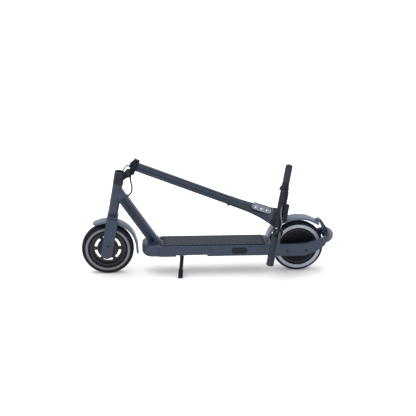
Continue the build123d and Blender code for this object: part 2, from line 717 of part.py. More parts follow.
with BuildPart() as front_rim:
    with BuildSketch(Plane.XZ.offset(-17.0)):
        with Locations((FX, AXLE_Z)):
            Circle(84.0)
            Circle(74.0, mode=Mode.SUBTRACT)
    extrude(amount=34.0)
    with BuildSketch(Plane.XZ.offset(-7.0)):
        with Locations((FX, AXLE_Z)):
            Circle(76.0)
            Circle(40.0, mode=Mode.SUBTRACT)
    extrude(amount=14.0)
    with BuildSketch(Plane.XZ.offset(-20.0)):
        with Locations((FX, AXLE_Z)):
            Circle(44.0)
    extrude(amount=43.0)
    for k in range(6):
        a0 = radians(30 + 60 * k - 23)
        a1 = radians(30 + 60 * k)
        a2 = radians(30 + 60 * k + 23)
        b0, b2 = radians(30 + 60 * k - 22.2), radians(30 + 60 * k + 22.2)
        with BuildSketch(Plane.XZ.offset(-30)):
            with BuildLine():
                ThreePointArc((FX + 63 * cos(a0), AXLE_Z + 63 * sin(a0)),
                              (FX + 63 * cos(a1), AXLE_Z + 63 * sin(a1)),
                              (FX + 63 * cos(a2), AXLE_Z + 63 * sin(a2)))
                ThreePointArc((FX + 50.5 * cos(b0), AXLE_Z + 50.5 * sin(b0)),
                              (FX + 50.5 * cos(a1), AXLE_Z + 50.5 * sin(a1)),
                              (FX + 50.5 * cos(b2), AXLE_Z + 50.5 * sin(b2)))
                Line((FX + 63 * cos(a0), AXLE_Z + 63 * sin(a0)), (FX + 50.5 * cos(b0), AXLE_Z + 50.5 * sin(b0)))
                Line((FX + 63 * cos(a2), AXLE_Z + 63 * sin(a2)), (FX + 50.5 * cos(b2), AXLE_Z + 50.5 * sin(b2)))
            make_face()
        extrude(amount=60, mode=Mode.SUBTRACT)
    # drum cavity on the right, bearing bore through
    with BuildSketch(Plane.XZ.offset(-20.0)):
        with Locations((FX, AXLE_Z)):
            Circle(38.0)
    extrude(amount=22.0, mode=Mode.SUBTRACT)
    with BuildSketch(Plane.XZ.offset(-30)):
        with Locations((FX, AXLE_Z)):
            Circle(13.0)
    extrude(amount=70, mode=Mode.SUBTRACT)
make(front_rim.part, "front_rim")

with BuildPart() as front_bearings:
    for y0 in (-9.0, -21.0):
        with BuildSketch(Plane.XZ.offset(-y0 - 7.5)):
            with Locations((FX, AXLE_Z)):
                Circle(13.0)
                Circle(5.04, mode=Mode.SUBTRACT)
        extrude(amount=7.5)
make(front_bearings.part, "front_bearings")

with BuildPart() as motor_shell:
    with BuildSketch(Plane(origin=V(RX, 0, AXLE_Z), x_dir=V(0, 0, 1), z_dir=V(-1, 0, 0))):
        with BuildLine():
            Polyline((6.05, -26), (18, -26), (22, -22), (76, -20), (79, -17), (84, -17), (84, 17),
                     (79, 17), (76, 20), (22, 22), (18, 26), (6.05, 26), close=True)
        make_face()
        with BuildLine():
            Polyline((6.05, -13), (68, -13), (68, 13), (6.05, 13), close=True)
        make_face(mode=Mode.SUBTRACT)
    revolve(axis=wheel_axis(RX))
make(motor_shell.part, "motor_shell")

# =====================================================================
# STEM
# =====================================================================
with BuildPart() as stem_base:
    with BuildSketch(STEM.offset(CLR)):
        Circle(24.0)
    extrude(amount=27.0 - CLR)
    chamfer(stem_base.edges().filter_by(GeomType.CIRCLE), 0.8)
    # locating plug that drops into the collar
    with BuildSketch(STEM.offset(-6.0)):
        Circle(16.0)
    extrude(amount=3.0)
    with BuildSketch(STEM.offset(-3.0)):
        Circle(12.0)
    extrude(amount=3.0 + CLR + 1)
    # knuckle and its gusset
    with BuildSketch(STEM_SIDE):
        with BuildLine():
            Polyline((4.5, -20.0), (-6.0, -33.0), (-9.5, -41.5), (1.0, -50.0), (12.0, -47.5), (27.0, -38.0),
                     (27.0, -20.0), close=True)
        make_face()
    extrude(amount=9.0, both=True)
    with BuildSketch(STEM_SIDE):
        with Locations((PIVOT_W - COLLAR_TOP, -PIVOT_OFF)):
            Circle(4.05)
    extrude(amount=20, both=True, mode=Mode.SUBTRACT)
    # ears for the latch lever on the front side
    for sg in (-1, 1):
        with BuildSketch(STEM_SIDE.offset(-sg * 12.0)):
            with Locations((9.0, 21.0)):
                Rectangle(9.0, 14.0)
            with Locations((9.0, 28.0)):
                Circle(4.5)
        extrude(amount=1.5, both=True)
    with BuildSketch(STEM_SIDE):
        with Locations((9.0, 28.0)):
            Circle(2.0)
    extrude(amount=13.0, both=True)
make(stem_base.part, "stem_base")

with BuildPart() as latch_lever:
    with BuildSketch(STEM_SIDE):
        with BuildLine():
            Polyline((9.0, 24.8), (26.0, 24.6), (30.0, 25.5), (31.0, 29.5), (25.0, 32.0), (12.0, 32.5),
                     (6.2, 31.0), (5.5, 27.5), close=True)
        make_face()
        with Locations((9.0, 28.0)):
            Circle(3.6)
        with Locations((9.0, 28.0)):
            Circle(2.06, mode=Mode.SUBTRACT)
    extrude(amount=10.0, both=True)
make(latch_lever.part, "latch_lever")

with BuildPart() as stem_tube:
    with BuildSketch(STEM.offset(27.0)):
        Circle(STEM_R)
        Circle(18.5, mode=Mode.SUBTRACT)
        for ang in (0, 180):
            for da in (-24, 24):
                with Locations(Location((STEM_R * cos(radians(ang + da)), STEM_R * sin(radians(ang + da))), ang + da)):
                    Rectangle(2.0, 2.2, mode=Mode.SUBTRACT)
    extrude(amount=STEM_TOP - 14.0 - 27.0)
make(stem_tube.part, "stem_tube")

with BuildPart() as swivel_collar:
    with BuildSketch(STEM.offset(STEM_TOP - 14.0)):
        Circle(23.0)
        Circle(15.0, mode=Mode.SUBTRACT)
    extrude(amount=13.6)
    with BuildSketch(STEM.offset(STEM_TOP - 11.0)):
        with Locations((0, -23.0)):
            Rectangle(14, 10)
            Rectangle(2, 12, mode=Mode.SUBTRACT)
    extrude(amount=8)
    with BuildSketch(STEM.offset(STEM_TOP - 14.0)):
        Circle(15.0)
    extrude(amount=13.6, mode=Mode.SUBTRACT)
make(swivel_collar.part, "swivel_collar")

# brake and throttle line between the steerer and the stem, seen when folded
c1 = H0 + HA * 354.0 + HP * 5.0
c2 = H0 + HA * 372.0 + HP * 7.5
e1 = B0 - SD * 6.0 - SU * 8.0
e0 = e1 - SD * 10.0
SC = [c1, c2, V(gx(81.0), 0, 505.5), V(gx(90.0), 0, 518.5), e0, e1]
SC_RAD = [30.0, 22.0, 11.0, 9.0]
with BuildPart() as stem_cable:
    with BuildLine() as w2:
        FilletPolyline(*SC, radius=SC_RAD)
    with BuildSketch(Plane(origin=SC[0], z_dir=(SC[1] - SC[0]).normalized())):
        Circle(2.2)
    sweep()
print("stem cable length", round(w2.wires()[0].length, 1),
      "volume ratio", round(stem_cable.part.volume / (w2.wires()[0].length * 3.14159 * 2.2**2), 4))
make(stem_cable.part, "stem_cable")

# =====================================================================
# HANDLEBAR
# =====================================================================
HLT = radians(4.5)
HL_X = SD * cos(HLT) + BF * sin(HLT)
HL_Z = BF * cos(HLT) - SD * sin(HLT)
HL = Plane(origin=B0 + SD * 641.0 + BF * 18.0, x_dir=HL_X, z_dir=HL_Z)   # x along the neck, z out

with BuildPart() as neck:
    for s_, a_, b_, y_, x_ in ((STEM_TOP, 22.0, 22.0, 0.0, 0.0), (530.0, 22.6, 22.0, 0.3, 0.0),
                               (590.0, 25.5, 22.0, 2.5, -0.5), (640.0, 31.0, 22.0, 6.0, -3.0),
                               (680.0, 39.0, 21.0, 13.0, -9.0), (708.0, 47.0, 20.0, 23.0, -16.0),
                               (727.0, 52.0, 19.0, 33.0, -21.0)):
        with BuildSketch(BAR.offset(s_)):
            with Locations((x_, y_)):
                Ellipse(a_, b_) if abs(a_ - b_) > 0.2 else Circle(a_)
    loft()
    # seat of the handlebar shroud
    with BuildSketch(bar_cross(-80)):
        Circle(18.0)
    extrude(amount=160, mode=Mode.SUBTRACT)
    # headlight pocket
    with BuildSketch(HL):
        SlotOverall(97, 34)
    extrude(amount=40, mode=Mode.SUBTRACT)
    # cable way
    with BuildSketch(BAR.offset(STEM_TOP - 5)):
        Circle(9.0)
    extrude(amount=120, mode=Mode.SUBTRACT)
    # spigot that turns in the swivel collar
    with BuildSketch(BAR.offset(STEM_TOP - 60.0)):
        Circle(14.95)
        Circle(12.0, mode=Mode.SUBTRACT)
    extrude(amount=62.0)
make(neck.part, "neck")

with BuildPart() as headlight_housing:
    with BuildSketch(HL):
        SlotOverall(97, 34)
    extrude(amount=12.5)
    with BuildSketch(HL.offset(4.0)):
        SlotOverall(90, 27)
    extrude(amount=12.5, mode=Mode.SUBTRACT)
    chamfer(headlight_housing.faces().filter_by(lambda f: f.normal_at().dot(HL_Z) > 0.99)
            .sort_by(lambda f: f.center().dot(HL_Z))[-1].outer_wire().edges(), 1.0)
make(headlight_housing.part, "headlight_housing")

with BuildPart() as headlight_lens:
    with BuildSketch(HL.offset(4.0)):
        SlotOverall(90, 27)
    extrude(amount=7.5)
make(headlight_lens.part, "headlight_lens")

with BuildPart() as handlebar_tube:
    with BuildSketch(bar_cross(-BAR_HALF + 6)):
        Circle(BAR_R)
        Circle(8.6, mode=Mode.SUBTRACT)
    extrude(amount=2 * BAR_HALF - 12)
make(handlebar_tube.part, "handlebar_tube")

SH0, SH1 = -80.0, 126.0
with BuildPart() as bar_shroud:
    with BuildSketch(bar_cross(SH0)):
        Circle(18.0)
    extrude(amount=SH1 - SH0)
    chamfer(bar_shroud.edges().filter_by(GeomType.CIRCLE), 1.0)
    # cable entry boss on the front
    with BuildSketch(bar_cross(30.0)):
        with Locations((21.6, -3.0)):
            Circle(4.6)
    extrude(amount=14.0)
    with BuildSketch(bar_cross(SH0)):
        Circle(BAR_R)
    extrude(amount=SH1 - SH0, mode=Mode.SUBTRACT)
make(bar_shroud.part, "bar_shroud")

with BuildPart() as grips:
    with BuildSketch(bar_cross(165.0)):
        Circle(16.0)
    extrude(amount=BAR_HALF - 165.0)
    with BuildSketch(bar_cross(-BAR_HALF)):
        Circle(16.0)
    extrude(amount=BAR_HALF - 131.0)
    fillet(grips.edges().filter_by(GeomType.CIRCLE), 2.0)
    with BuildSketch(bar_cross(-BAR_HALF + 6)):
        Circle(BAR_R)
    extrude(amount=2 * BAR_HALF - 12, mode=Mode.SUBTRACT)
make(grips.part, "grips")

with BuildPart() as throttle_housing:
    with BuildSketch(bar_cross(127.0)):
        Circle(19.5)
    extrude(amount=22.0)
    chamfer(throttle_housing.edges().filter_by(GeomType.CIRCLE), 1.2)
    with BuildSketch(bar_cross(149.0)):
        Circle(12.6)
    extrude(amount=14.5)
    with BuildSketch(bar_cross(162.0)):
        Circle(17.5)
    extrude(amount=2.6)
    with BuildSketch(bar_cross(120.0)):
        Circle(BAR_R)
    extrude(amount=60, mode=Mode.SUBTRACT)
make(throttle_housing.part, "throttle_housing")

with BuildPart() as throttle_lever:
    with BuildSketch(bar_cross(149.5)):
        Circle(17.5)
    extrude(amount=12.1)
    with BuildSketch(bar_cross(147.5 + 2.0)):
        with BuildLine():
            Polyline((-6.0, -15.0), (-22.0, -17.0), (-36.0, -16.0), (-38.5, -11.0), (-34.0, -8.0),
                     (-22.0, -7.0), (-14.0, 6.0), close=True)
        make_face()
    extrude(amount=12.1)
    with BuildSketch(bar_cross(145)):
        Circle(12.65)
    extrude(amount=25, mode=Mode.SUBTRACT)
make(throttle_lever.part, "throttle_lever")

# brake lever bracket on the left
LV = (-116.0, 31.0)          # lever pin: x, and y ahead of the bar axis
LEVP = Plane(origin=BARC, x_dir=BU, z_dir=SD)       # x right, y forward of the bar, z up the stem
with BuildPart() as brake_perch:
    with BuildSketch(bar_cross(-129.0)):
        Circle(16.5)
    extrude(amount=24.0)
    with BuildSketch(LEVP.offset(-8.0)) as s:
        with BuildLine():
            Polyline((-129, 8), (-129, 32), (-122, 40), (-109, 40), (-100, 33), (-96.0, 33), (-96.0, 21.5),
                     (-105, 20), (-105, 8), close=True)
        make_face()
    extrude(amount=28.0)
    # slot for the lever blade
    with BuildSketch(LEVP.offset(-0.4)):
        with BuildLine():
            Polyline((-140, 19.5), (-106.5, 19.5), (-106.5, 60), (-140, 60), close=True)
        make_face()
    extrude(amount=14.8, mode=Mode.SUBTRACT)
    with BuildSketch(bar_cross(-140)):
        Circle(BAR_R)
    extrude(amount=50, mode=Mode.SUBTRACT)
    with BuildSketch(LEVP.offset(-8.0)):
        with Locations(LV):
            Circle(3.0)
    extrude(amount=28.0)
make(brake_perch.part, "brake_perch")

with BuildPart() as brake_lever:
    with BuildSketch(LEVP.offset(0.0)) as s:
        with BuildLine():
            Polyline((-108.5, 26.0), (-108.0, 35.0), (-116.0, 37.5), (-128.0, 41.5), (-150.0, 47.0),
                     (-200.0, 50.5), (-240.0, 51.0), (-251.5, 50.0), (-251.5, 45.5), (-240.0, 45.5),
                     (-200.0, 44.5), (-150.0, 40.0), (-133.0, 34.0), (-124.0, 24.0), (-113.0, 22.0),
                     close=True)
        make_face()
        with Locations(LV):
            Circle(3.05, mode=Mode.SUBTRACT)
    extrude(amount=14.0)
make(brake_lever.part, "brake_lever")

with BuildPart() as bell:
    with BuildSketch(bar_cross(-101.0)):
        Circle(14.5)
    extrude(amount=12.0)
    with BuildSketch(LEVP.offset(10.0)):
        with Locations((-95.0, 0)):
            Rectangle(12.0, 14)
    extrude(amount=9.0)
    with BuildSketch(bar_cross(-110)):
        Circle(BAR_R)
    extrude(amount=40, mode=Mode.SUBTRACT)
    with BuildSketch(LEVP.offset(18.0)):
        with Locations((-90.0, 0)):
            Circle(14.0)
    extrude(amount=11.0)
    fillet(bell.faces().sort_by(lambda f: f.center().dot(SD))[-1].edges(), 7.0)
make(bell.part, "bell")

with BuildPart() as bell_lever:
    with BuildSketch(LEVP.offset(19.0)):
        with BuildLine():
            Polyline((-96, -16.0), (-90, -16.0), (-90, -24.0), (-82, -30.0), (-84, -33.0), (-96, -26.0), close=True)
        make_face()
    extrude(amount=4.0)
make(bell_lever.part, "bell_lever")

# display pod on top of the bar
with BuildPart() as display_housing:
    with BuildSketch(LEVP.offset(8.0)):
        with Locations((9.0, 6.5)):
            RectangleRounded(94, 33, 10)
    extrude(amount=25.0)
    fillet(display_housing.faces().filter_by(lambda f: f.normal_at().dot(SD) > 0.99).edges(), 4.0)
    with BuildSketch(bar_cross(-80)):
        Circle(18.0)
    extrude(amount=160, mode=Mode.SUBTRACT)
    with BuildSketch(LEVP.offset(32.0)):
        with Locations((-1.0, 6.5)):
            RectangleRounded(60, 24, 5)
    extrude(amount=8.0, mode=Mode.SUBTRACT)
    with BuildSketch(LEVP.offset(29.5)):
        with Locations((42.0, 6.5)):
            Circle(6.4)
    extrude(amount=8.0, mode=Mode.SUBTRACT)
make(display_housing.part, "display_housing")

with BuildPart() as mode_button:
    with BuildSketch(LEVP.offset(30.8)):
        with Locations((42.0, 6.5)):
            Circle(6.0)
    extrude(amount=4.0)
    fillet(mode_button.faces().sort_by(lambda f: f.center().dot(SD))[-1].edges(), 0.8)
make(mode_button.part, "mode_button")

# brake cable in front of the bar
BC = [bar_pt(-95.5, BAR_FWD + 27.0, 8.0), bar_pt(-78.0, BAR_FWD + 28.0, 11.5),
      bar_pt(-54.0, BAR_FWD + 27.5, 9.5), bar_pt(-26.0, BAR_FWD + 25.2, -0.5),
      bar_pt(2.0, BAR_FWD + 23.2, -4.0), bar_pt(29.75, BAR_FWD + 21.6, -3.0)]
BC_RAD = [22.0, 26.0, 26.0, 30.0]
with BuildPart() as brake_cable:
    with BuildLine() as w3:
        FilletPolyline(*BC, radius=BC_RAD)
    with BuildSketch(Plane(origin=BC[0], z_dir=(BC[1] - BC[0]).normalized())):
        Circle(2.4)
    sweep()
print("brake cable length", round(w3.wires()[0].length, 1),
      "volume ratio", round(brake_cable.part.volume / (w3.wires()[0].length * 3.14159 * 2.4**2), 4))
make(brake_cable.part, "brake_cable")

# =====================================================================
# SMALL MOVING PIECES ON THE FRAME
# =====================================================================
with BuildPart() as charge_cap:
    with BuildSketch(Plane.XZ.offset(HW + 0.4)):
        with Locations((gx(616.5), 125.5)):
            SlotOverall(71, 26)
    extrude(amount=2.2)
    fillet(charge_cap.faces().sort_by(Axis.Y)[0].edges(), 0.9)
make(charge_cap.part, "charge_cap")

# kickstand: blade, foot and pivot eye
KS_LEN = (KS_FOOT - KS).length
KF = Plane(origin=KS, x_dir=KS_AX, z_dir=KS_L0)      # z down the leg, x along the hinge axis
with BuildPart() as kickstand:
    with BuildSketch(KS_PL.offset(-5.0)):
        Circle(7.6)
    extrude(amount=10.0)
    with BuildSketch(KF):
        RectangleRounded(9.5, 17.5, 2.5)
    with BuildSketch(KF.offset(62.0)):
        RectangleRounded(9.5, 16.0, 2.5)
    loft()
    with BuildSketch(KF.offset(58.0)):
        RectangleRounded(11.5, 22.0, 4.5)
    extrude(amount=60)
    # ground face
    with BuildSketch(Plane.XY):
        with Locations((gx(338.0), -90)):
            Rectangle(120, 120)
    extrude(amount=-60, mode=Mode.SUBTRACT)
    with BuildSketch(KS_PL.offset(-12)):
        Circle(3.06)
    extrude(amount=24, mode=Mode.SUBTRACT)
make(kickstand.part, "kickstand")

print("PIN", PIN, "B0", B0, "SD", SD, "SU", SU, "BU", BU, "BF", BF, "BARC", BARC)
print("KS", KS, "KS_AX", KS_AX, "HA", HA)
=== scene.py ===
import bpy, bmesh, json, math, random
from mathutils import Vector, Matrix
from math import sin, cos, pi, radians, sqrt


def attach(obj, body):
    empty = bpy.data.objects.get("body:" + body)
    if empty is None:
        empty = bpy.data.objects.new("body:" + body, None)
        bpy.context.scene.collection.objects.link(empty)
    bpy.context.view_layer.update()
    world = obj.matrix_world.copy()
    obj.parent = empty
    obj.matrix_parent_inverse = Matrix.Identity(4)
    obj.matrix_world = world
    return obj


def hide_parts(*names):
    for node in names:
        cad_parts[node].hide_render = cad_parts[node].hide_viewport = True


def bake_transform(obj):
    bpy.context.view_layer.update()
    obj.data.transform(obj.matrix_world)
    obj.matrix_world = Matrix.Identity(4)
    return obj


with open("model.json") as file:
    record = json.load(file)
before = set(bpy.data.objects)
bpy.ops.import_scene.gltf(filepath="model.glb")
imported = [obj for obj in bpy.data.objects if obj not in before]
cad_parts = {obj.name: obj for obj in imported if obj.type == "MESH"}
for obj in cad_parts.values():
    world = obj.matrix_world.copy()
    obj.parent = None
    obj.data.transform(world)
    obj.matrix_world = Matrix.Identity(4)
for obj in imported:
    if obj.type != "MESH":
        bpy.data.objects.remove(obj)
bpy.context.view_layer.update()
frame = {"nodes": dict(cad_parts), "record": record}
N = frame["nodes"]
SLOT_OF = {s["node"]: s["material_slot"] for s in frame["record"]["subparts"]}
K = 0.001

# ------------------------------------------------------------------ frame
FX, RX, AZ = -0.4505, 0.4505, 0.1225


def gx(x):
    return FX + x * K


X, Y, Z = Vector((1, 0, 0)), Vector((0, 1, 0)), Vector((0, 0, 1))
HA = Vector((0.180519, 0, 0.983571)).normalized()
HP = Vector((0.983571, 0, -0.180519)).normalized()
H0 = Vector((FX - 0.0033, 0, AZ))
SD = Vector((0.931691, 0, -0.363251)).normalized()
SU = Vector((0.363251, 0, 0.931691)).normalized()
B0 = Vector((-0.333067, 0, 0.528867))
BU = Vector((0.250964, 0.722967, 0.643689)).normalized()
BF = SD.cross(BU).normalized()
BARC = B0 + BF * 38.7 * K + SD * 730.5 * K
DD = Vector((0.557, 0, -0.830)).normalized()
DN = Vector((0.830, 0, 0.557)).normalized()
DC = Vector((gx(44.6), 0, 0.4155))
KS = Vector((-0.1035, -0.064, 0.095))
KS_FOOT = Vector((-0.1125, -0.090, 0.0))
KL = (KS_FOOT - KS).normalized()
KAX = KL.cross(X).normalized()
HLT = radians(4.5)
HLX = (SD * cos(HLT) + BF * sin(HLT)).normalized()
HLZ = (BF * cos(HLT) - SD * sin(HLT)).normalized()
HLY = HLZ.cross(HLX).normalized()
HLO = B0 + SD * 0.641 + BF * 0.018


def bar(x, y, t):
    # x right, y forward, t above the handlebar's axis, in mm
    return BARC + BU * x * K + BF * y * K + SD * t * K


def stem(x, y, s):
    return B0 + Y * x * K + SU * y * K + SD * s * K


# ------------------------------------------------------------------ camera
cam_d = bpy.data.cameras.new("camera")
cam = bpy.data.objects.new("camera", cam_d)
bpy.context.scene.collection.objects.link(cam)
cam_d.sensor_width = 36.0
cam_d.lens = 73.82
cam_d.clip_start, cam_d.clip_end = 0.05, 100.0
a_, e_, r_ = radians(-3.892), radians(18.872), radians(0.453)
back = Vector((sin(a_) * cos(e_), -cos(a_) * cos(e_), sin(e_)))
fw = -back
right = fw.cross(Z).normalized()
up = right.cross(fw).normalized()
r2 = right * cos(r_) + up * sin(r_)
u2 = -right * sin(r_) + up * cos(r_)
rot = Matrix((r2, u2, -fw)).transposed().to_4x4()
cam.matrix_world = Matrix.Translation(Vector((-0.2354, -3.7748, 1.60765))) @ rot
bpy.context.scene.camera = cam

# ------------------------------------------------------------------ materials


def shader(name):
    m = bpy.data.materials.new(name)
    m.use_nodes = True
    nt = m.node_tree
    b = nt.nodes["Principled BSDF"]
    tc = nt.nodes.new("ShaderNodeTexCoord")
    return m, nt, b, tc.outputs["Object"]


def noise(nt, vec, scale, detail=3.0, rough=0.55):
    n = nt.nodes.new("ShaderNodeTexNoise")
    n.inputs["Scale"].default_value = scale
    n.inputs["Detail"].default_value = detail
    n.inputs["Roughness"].default_value = rough
    nt.links.new(vec, n.inputs["Vector"])
    return n.outputs["Fac"]


def ramp(nt, fac, stops):
    r = nt.nodes.new("ShaderNodeValToRGB")
    el = r.color_ramp.elements
    while len(el) > 1:
        el.remove(el[-1])
    el[0].position, el[0].color = stops[0][0], (*stops[0][1], 1)
    for p, c in stops[1:]:
        e = el.new(p)
        e.color = (*c, 1)
    nt.links.new(fac, r.inputs["Fac"])
    return r.outputs["Color"]


def remap(nt, fac, a, b, lo=0.3, hi=0.7):
    r = nt.nodes.new("ShaderNodeMapRange")
    r.inputs["From Min"].default_value, r.inputs["From Max"].default_value = lo, hi
    r.inputs["To Min"].default_value, r.inputs["To Max"].default_value = a, b
    nt.links.new(fac, r.inputs["Value"])
    return r.outputs["Result"]


def bump(nt, bsdf, layers):
    last = None
    for fac, strength, dist in layers:
        n = nt.nodes.new("ShaderNodeBump")
        n.inputs["Strength"].default_value = strength
        n.inputs["Distance"].default_value = dist
        nt.links.new(fac, n.inputs["Height"])
        if last is not None:
            nt.links.new(last, n.inputs["Normal"])
        last = n.outputs["Normal"]
    nt.links.new(last, bsdf.inputs["Normal"])


def voronoi(nt, vec, scale, feature="F1", out="Distance"):
    v = nt.nodes.new("ShaderNodeTexVoronoi")
    v.feature = feature
    v.inputs["Scale"].default_value = scale
    nt.links.new(vec, v.inputs["Vector"])
    return v.outputs[out]


def mul(c, f):
    return tuple(min(1.0, a * f) for a in c)


def paint(name, c, rough=0.42, coat=0.25, metal=0.0, orange=0.10, var=0.10, spec=0.4):
    # powder coat: faint cloudiness, orange peel, fine sparkle of grain
    m, nt, b, vec = shader(name)
    big = noise(nt, vec, 9.0, 4)
    fine = noise(nt, vec, 900.0, 2)
    col = ramp(nt, big, [(0.25, mul(c, 1 - var)), (0.5, c), (0.78, mul(c, 1 + var))])
    mix = nt.nodes.new("ShaderNodeMix")
    mix.data_type = "RGBA"
    mix.blend_type = "MULTIPLY"
    mix.inputs[0].default_value = 0.55
    nt.links.new(col, mix.inputs[6])
    nt.links.new(ramp(nt, fine, [(0.3, (0.80, 0.80, 0.82)), (0.7, (1.0, 1.0, 1.0))]), mix.inputs[7])
    nt.links.new(mix.outputs[2], b.inputs["Base Color"])
    nt.links.new(remap(nt, noise(nt, vec, 26.0, 5), rough - 0.05, rough + 0.07), b.inputs["Roughness"])
    b.inputs["Metallic"].default_value = metal
    b.inputs["Coat Weight"].default_value = coat
    b.inputs["Coat Roughness"].default_value = 0.28
    b.inputs["Specular IOR Level"].default_value = spec
    bump(nt, b, [(noise(nt, vec, 420.0, 2), orange, 0.0004), (fine, 0.05, 0.0002)])
    return m


def plastic(name, c, rough=0.5, grain=0.18, scale=1500.0, var=0.12, coat=0.0, spec=0.35):
    # moulded plastic: spark-eroded grain, slight shade drift
    m, nt, b, vec = shader(name)
    col = ramp(nt, noise(nt, vec, 14.0, 4), [(0.28, mul(c, 1 - var)), (0.72, mul(c, 1 + var))])
    nt.links.new(col, b.inputs["Base Color"])
    nt.links.new(remap(nt, noise(nt, vec, 60.0, 4), rough - 0.05, rough + 0.08), b.inputs["Roughness"])
    b.inputs["Coat Weight"].default_value = coat
    b.inputs["IOR"].default_value = 1.46
    b.inputs["Specular IOR Level"].default_value = spec
    bump(nt, b, [(voronoi(nt, vec, scale), grain, 0.0003), (noise(nt, vec, 90.0, 2), 0.06, 0.0006)])
    return m


def rubber(name, c, rough=0.72, dust=0.35, grain=0.3, scale=700.0):
    # rubber with dust in the low spots and a dull bloom
    m, nt, b, vec = shader(name)
    n1 = noise(nt, vec, 22.0, 6, 0.65)
    col = ramp(nt, n1, [(0.30, mul(c, 0.8)), (0.55, c), (0.80, tuple(a + dust * (g - a) * 0.35 for a, g in zip(c, (0.12, 0.12, 0.12))))])
    nt.links.new(col, b.inputs["Base Color"])
    nt.links.new(remap(nt, noise(nt, vec, 110.0, 4), rough - 0.08, rough + 0.10), b.inputs["Roughness"])
    b.inputs["IOR"].default_value = 1.45
    b.inputs["Specular IOR Level"].default_value = 0.22
    bump(nt, b, [(noise(nt, vec, scale, 3), grain, 0.0003)])
    return m


def metal(name, c, rough=0.3, aniso=0.0, streak=(30, 30, 900), amount=0.12, metallic=1.0):
    # machined or drawn metal: fine streaks and faint blotches
    m, nt, b, vec = shader(name)
    mp = nt.nodes.new("ShaderNodeMapping")
    mp.inputs["Scale"].default_value = streak
    nt.links.new(vec, mp.inputs["Vector"])
    st = noise(nt, mp.outputs["Vector"], 1.0, 3)
    col = ramp(nt, noise(nt, vec, 30.0, 4), [(0.3, mul(c, 0.88)), (0.7, mul(c, 1.06))])
    nt.links.new(col, b.inputs["Base Color"])
    b.inputs["Metallic"].default_value = metallic
    nt.links.new(remap(nt, st, rough - amount / 2, rough + amount), b.inputs["Roughness"])
    bump(nt, b, [(st, 0.08, 0.0002)])
    return m


def reflector(name, c):
    # grey retroreflective band: tiny prism cells
    m, nt, b, vec = shader(name)
    cell = voronoi(nt, vec, 620.0)
    col = ramp(nt, cell, [(0.05, mul(c, 1.12)), (0.5, c), (0.85, mul(c, 0.86))])
    mix = nt.nodes.new("ShaderNodeMix")
    mix.data_type = "RGBA"
    mix.blend_type = "MULTIPLY"
    mix.inputs[0].default_value = 0.5
    nt.links.new(col, mix.inputs[6])
    nt.links.new(ramp(nt, noise(nt, vec, 35.0, 5), [(0.3, (0.82, 0.82, 0.83)), (0.7, (1, 1, 1))]), mix.inputs[7])
    nt.links.new(mix.outputs[2], b.inputs["Base Color"])
    b.inputs["Metallic"].default_value = 0.25
    b.inputs["Roughness"].default_value = 0.45
    b.inputs["Coat Weight"].default_value = 0.3
    b.inputs["Coat Roughness"].default_value = 0.2
    bump(nt, b, [(cell, 0.25, 0.0003)])
    return m


def lens(name, c, rough=0.08, alpha=None, trans=0.0, rib=0.0):
    m, nt, b, vec = shader(name)
    col = ramp(nt, noise(nt, vec, 40.0, 3), [(0.3, mul(c, 0.9)), (0.7, mul(c, 1.05))])
    nt.links.new(col, b.inputs["Base Color"])
    b.inputs["Roughness"].default_value = rough
    b.inputs["Transmission Weight"].default_value = trans
    b.inputs["IOR"].default_value = 1.49
    b.inputs["Coat Weight"].default_value = 0.6
    b.inputs["Coat Roughness"].default_value = 0.05
    if rib:
        bump(nt, b, [(voronoi(nt, vec, 420.0), rib, 0.0006)])
    if alpha is not None:
        b.inputs["Alpha"].default_value = alpha
    return m


def glow(name, c, strength):
    m, nt, b, vec = shader(name)
    col = ramp(nt, noise(nt, vec, 300.0, 2), [(0.3, mul(c, 0.85)), (0.7, c)])
    nt.links.new(col, b.inputs["Base Color"])
    nt.links.new(col, b.inputs["Emission Color"])
    b.inputs["Emission Strength"].default_value = strength
    b.inputs["Roughness"].default_value = 0.3
    return m


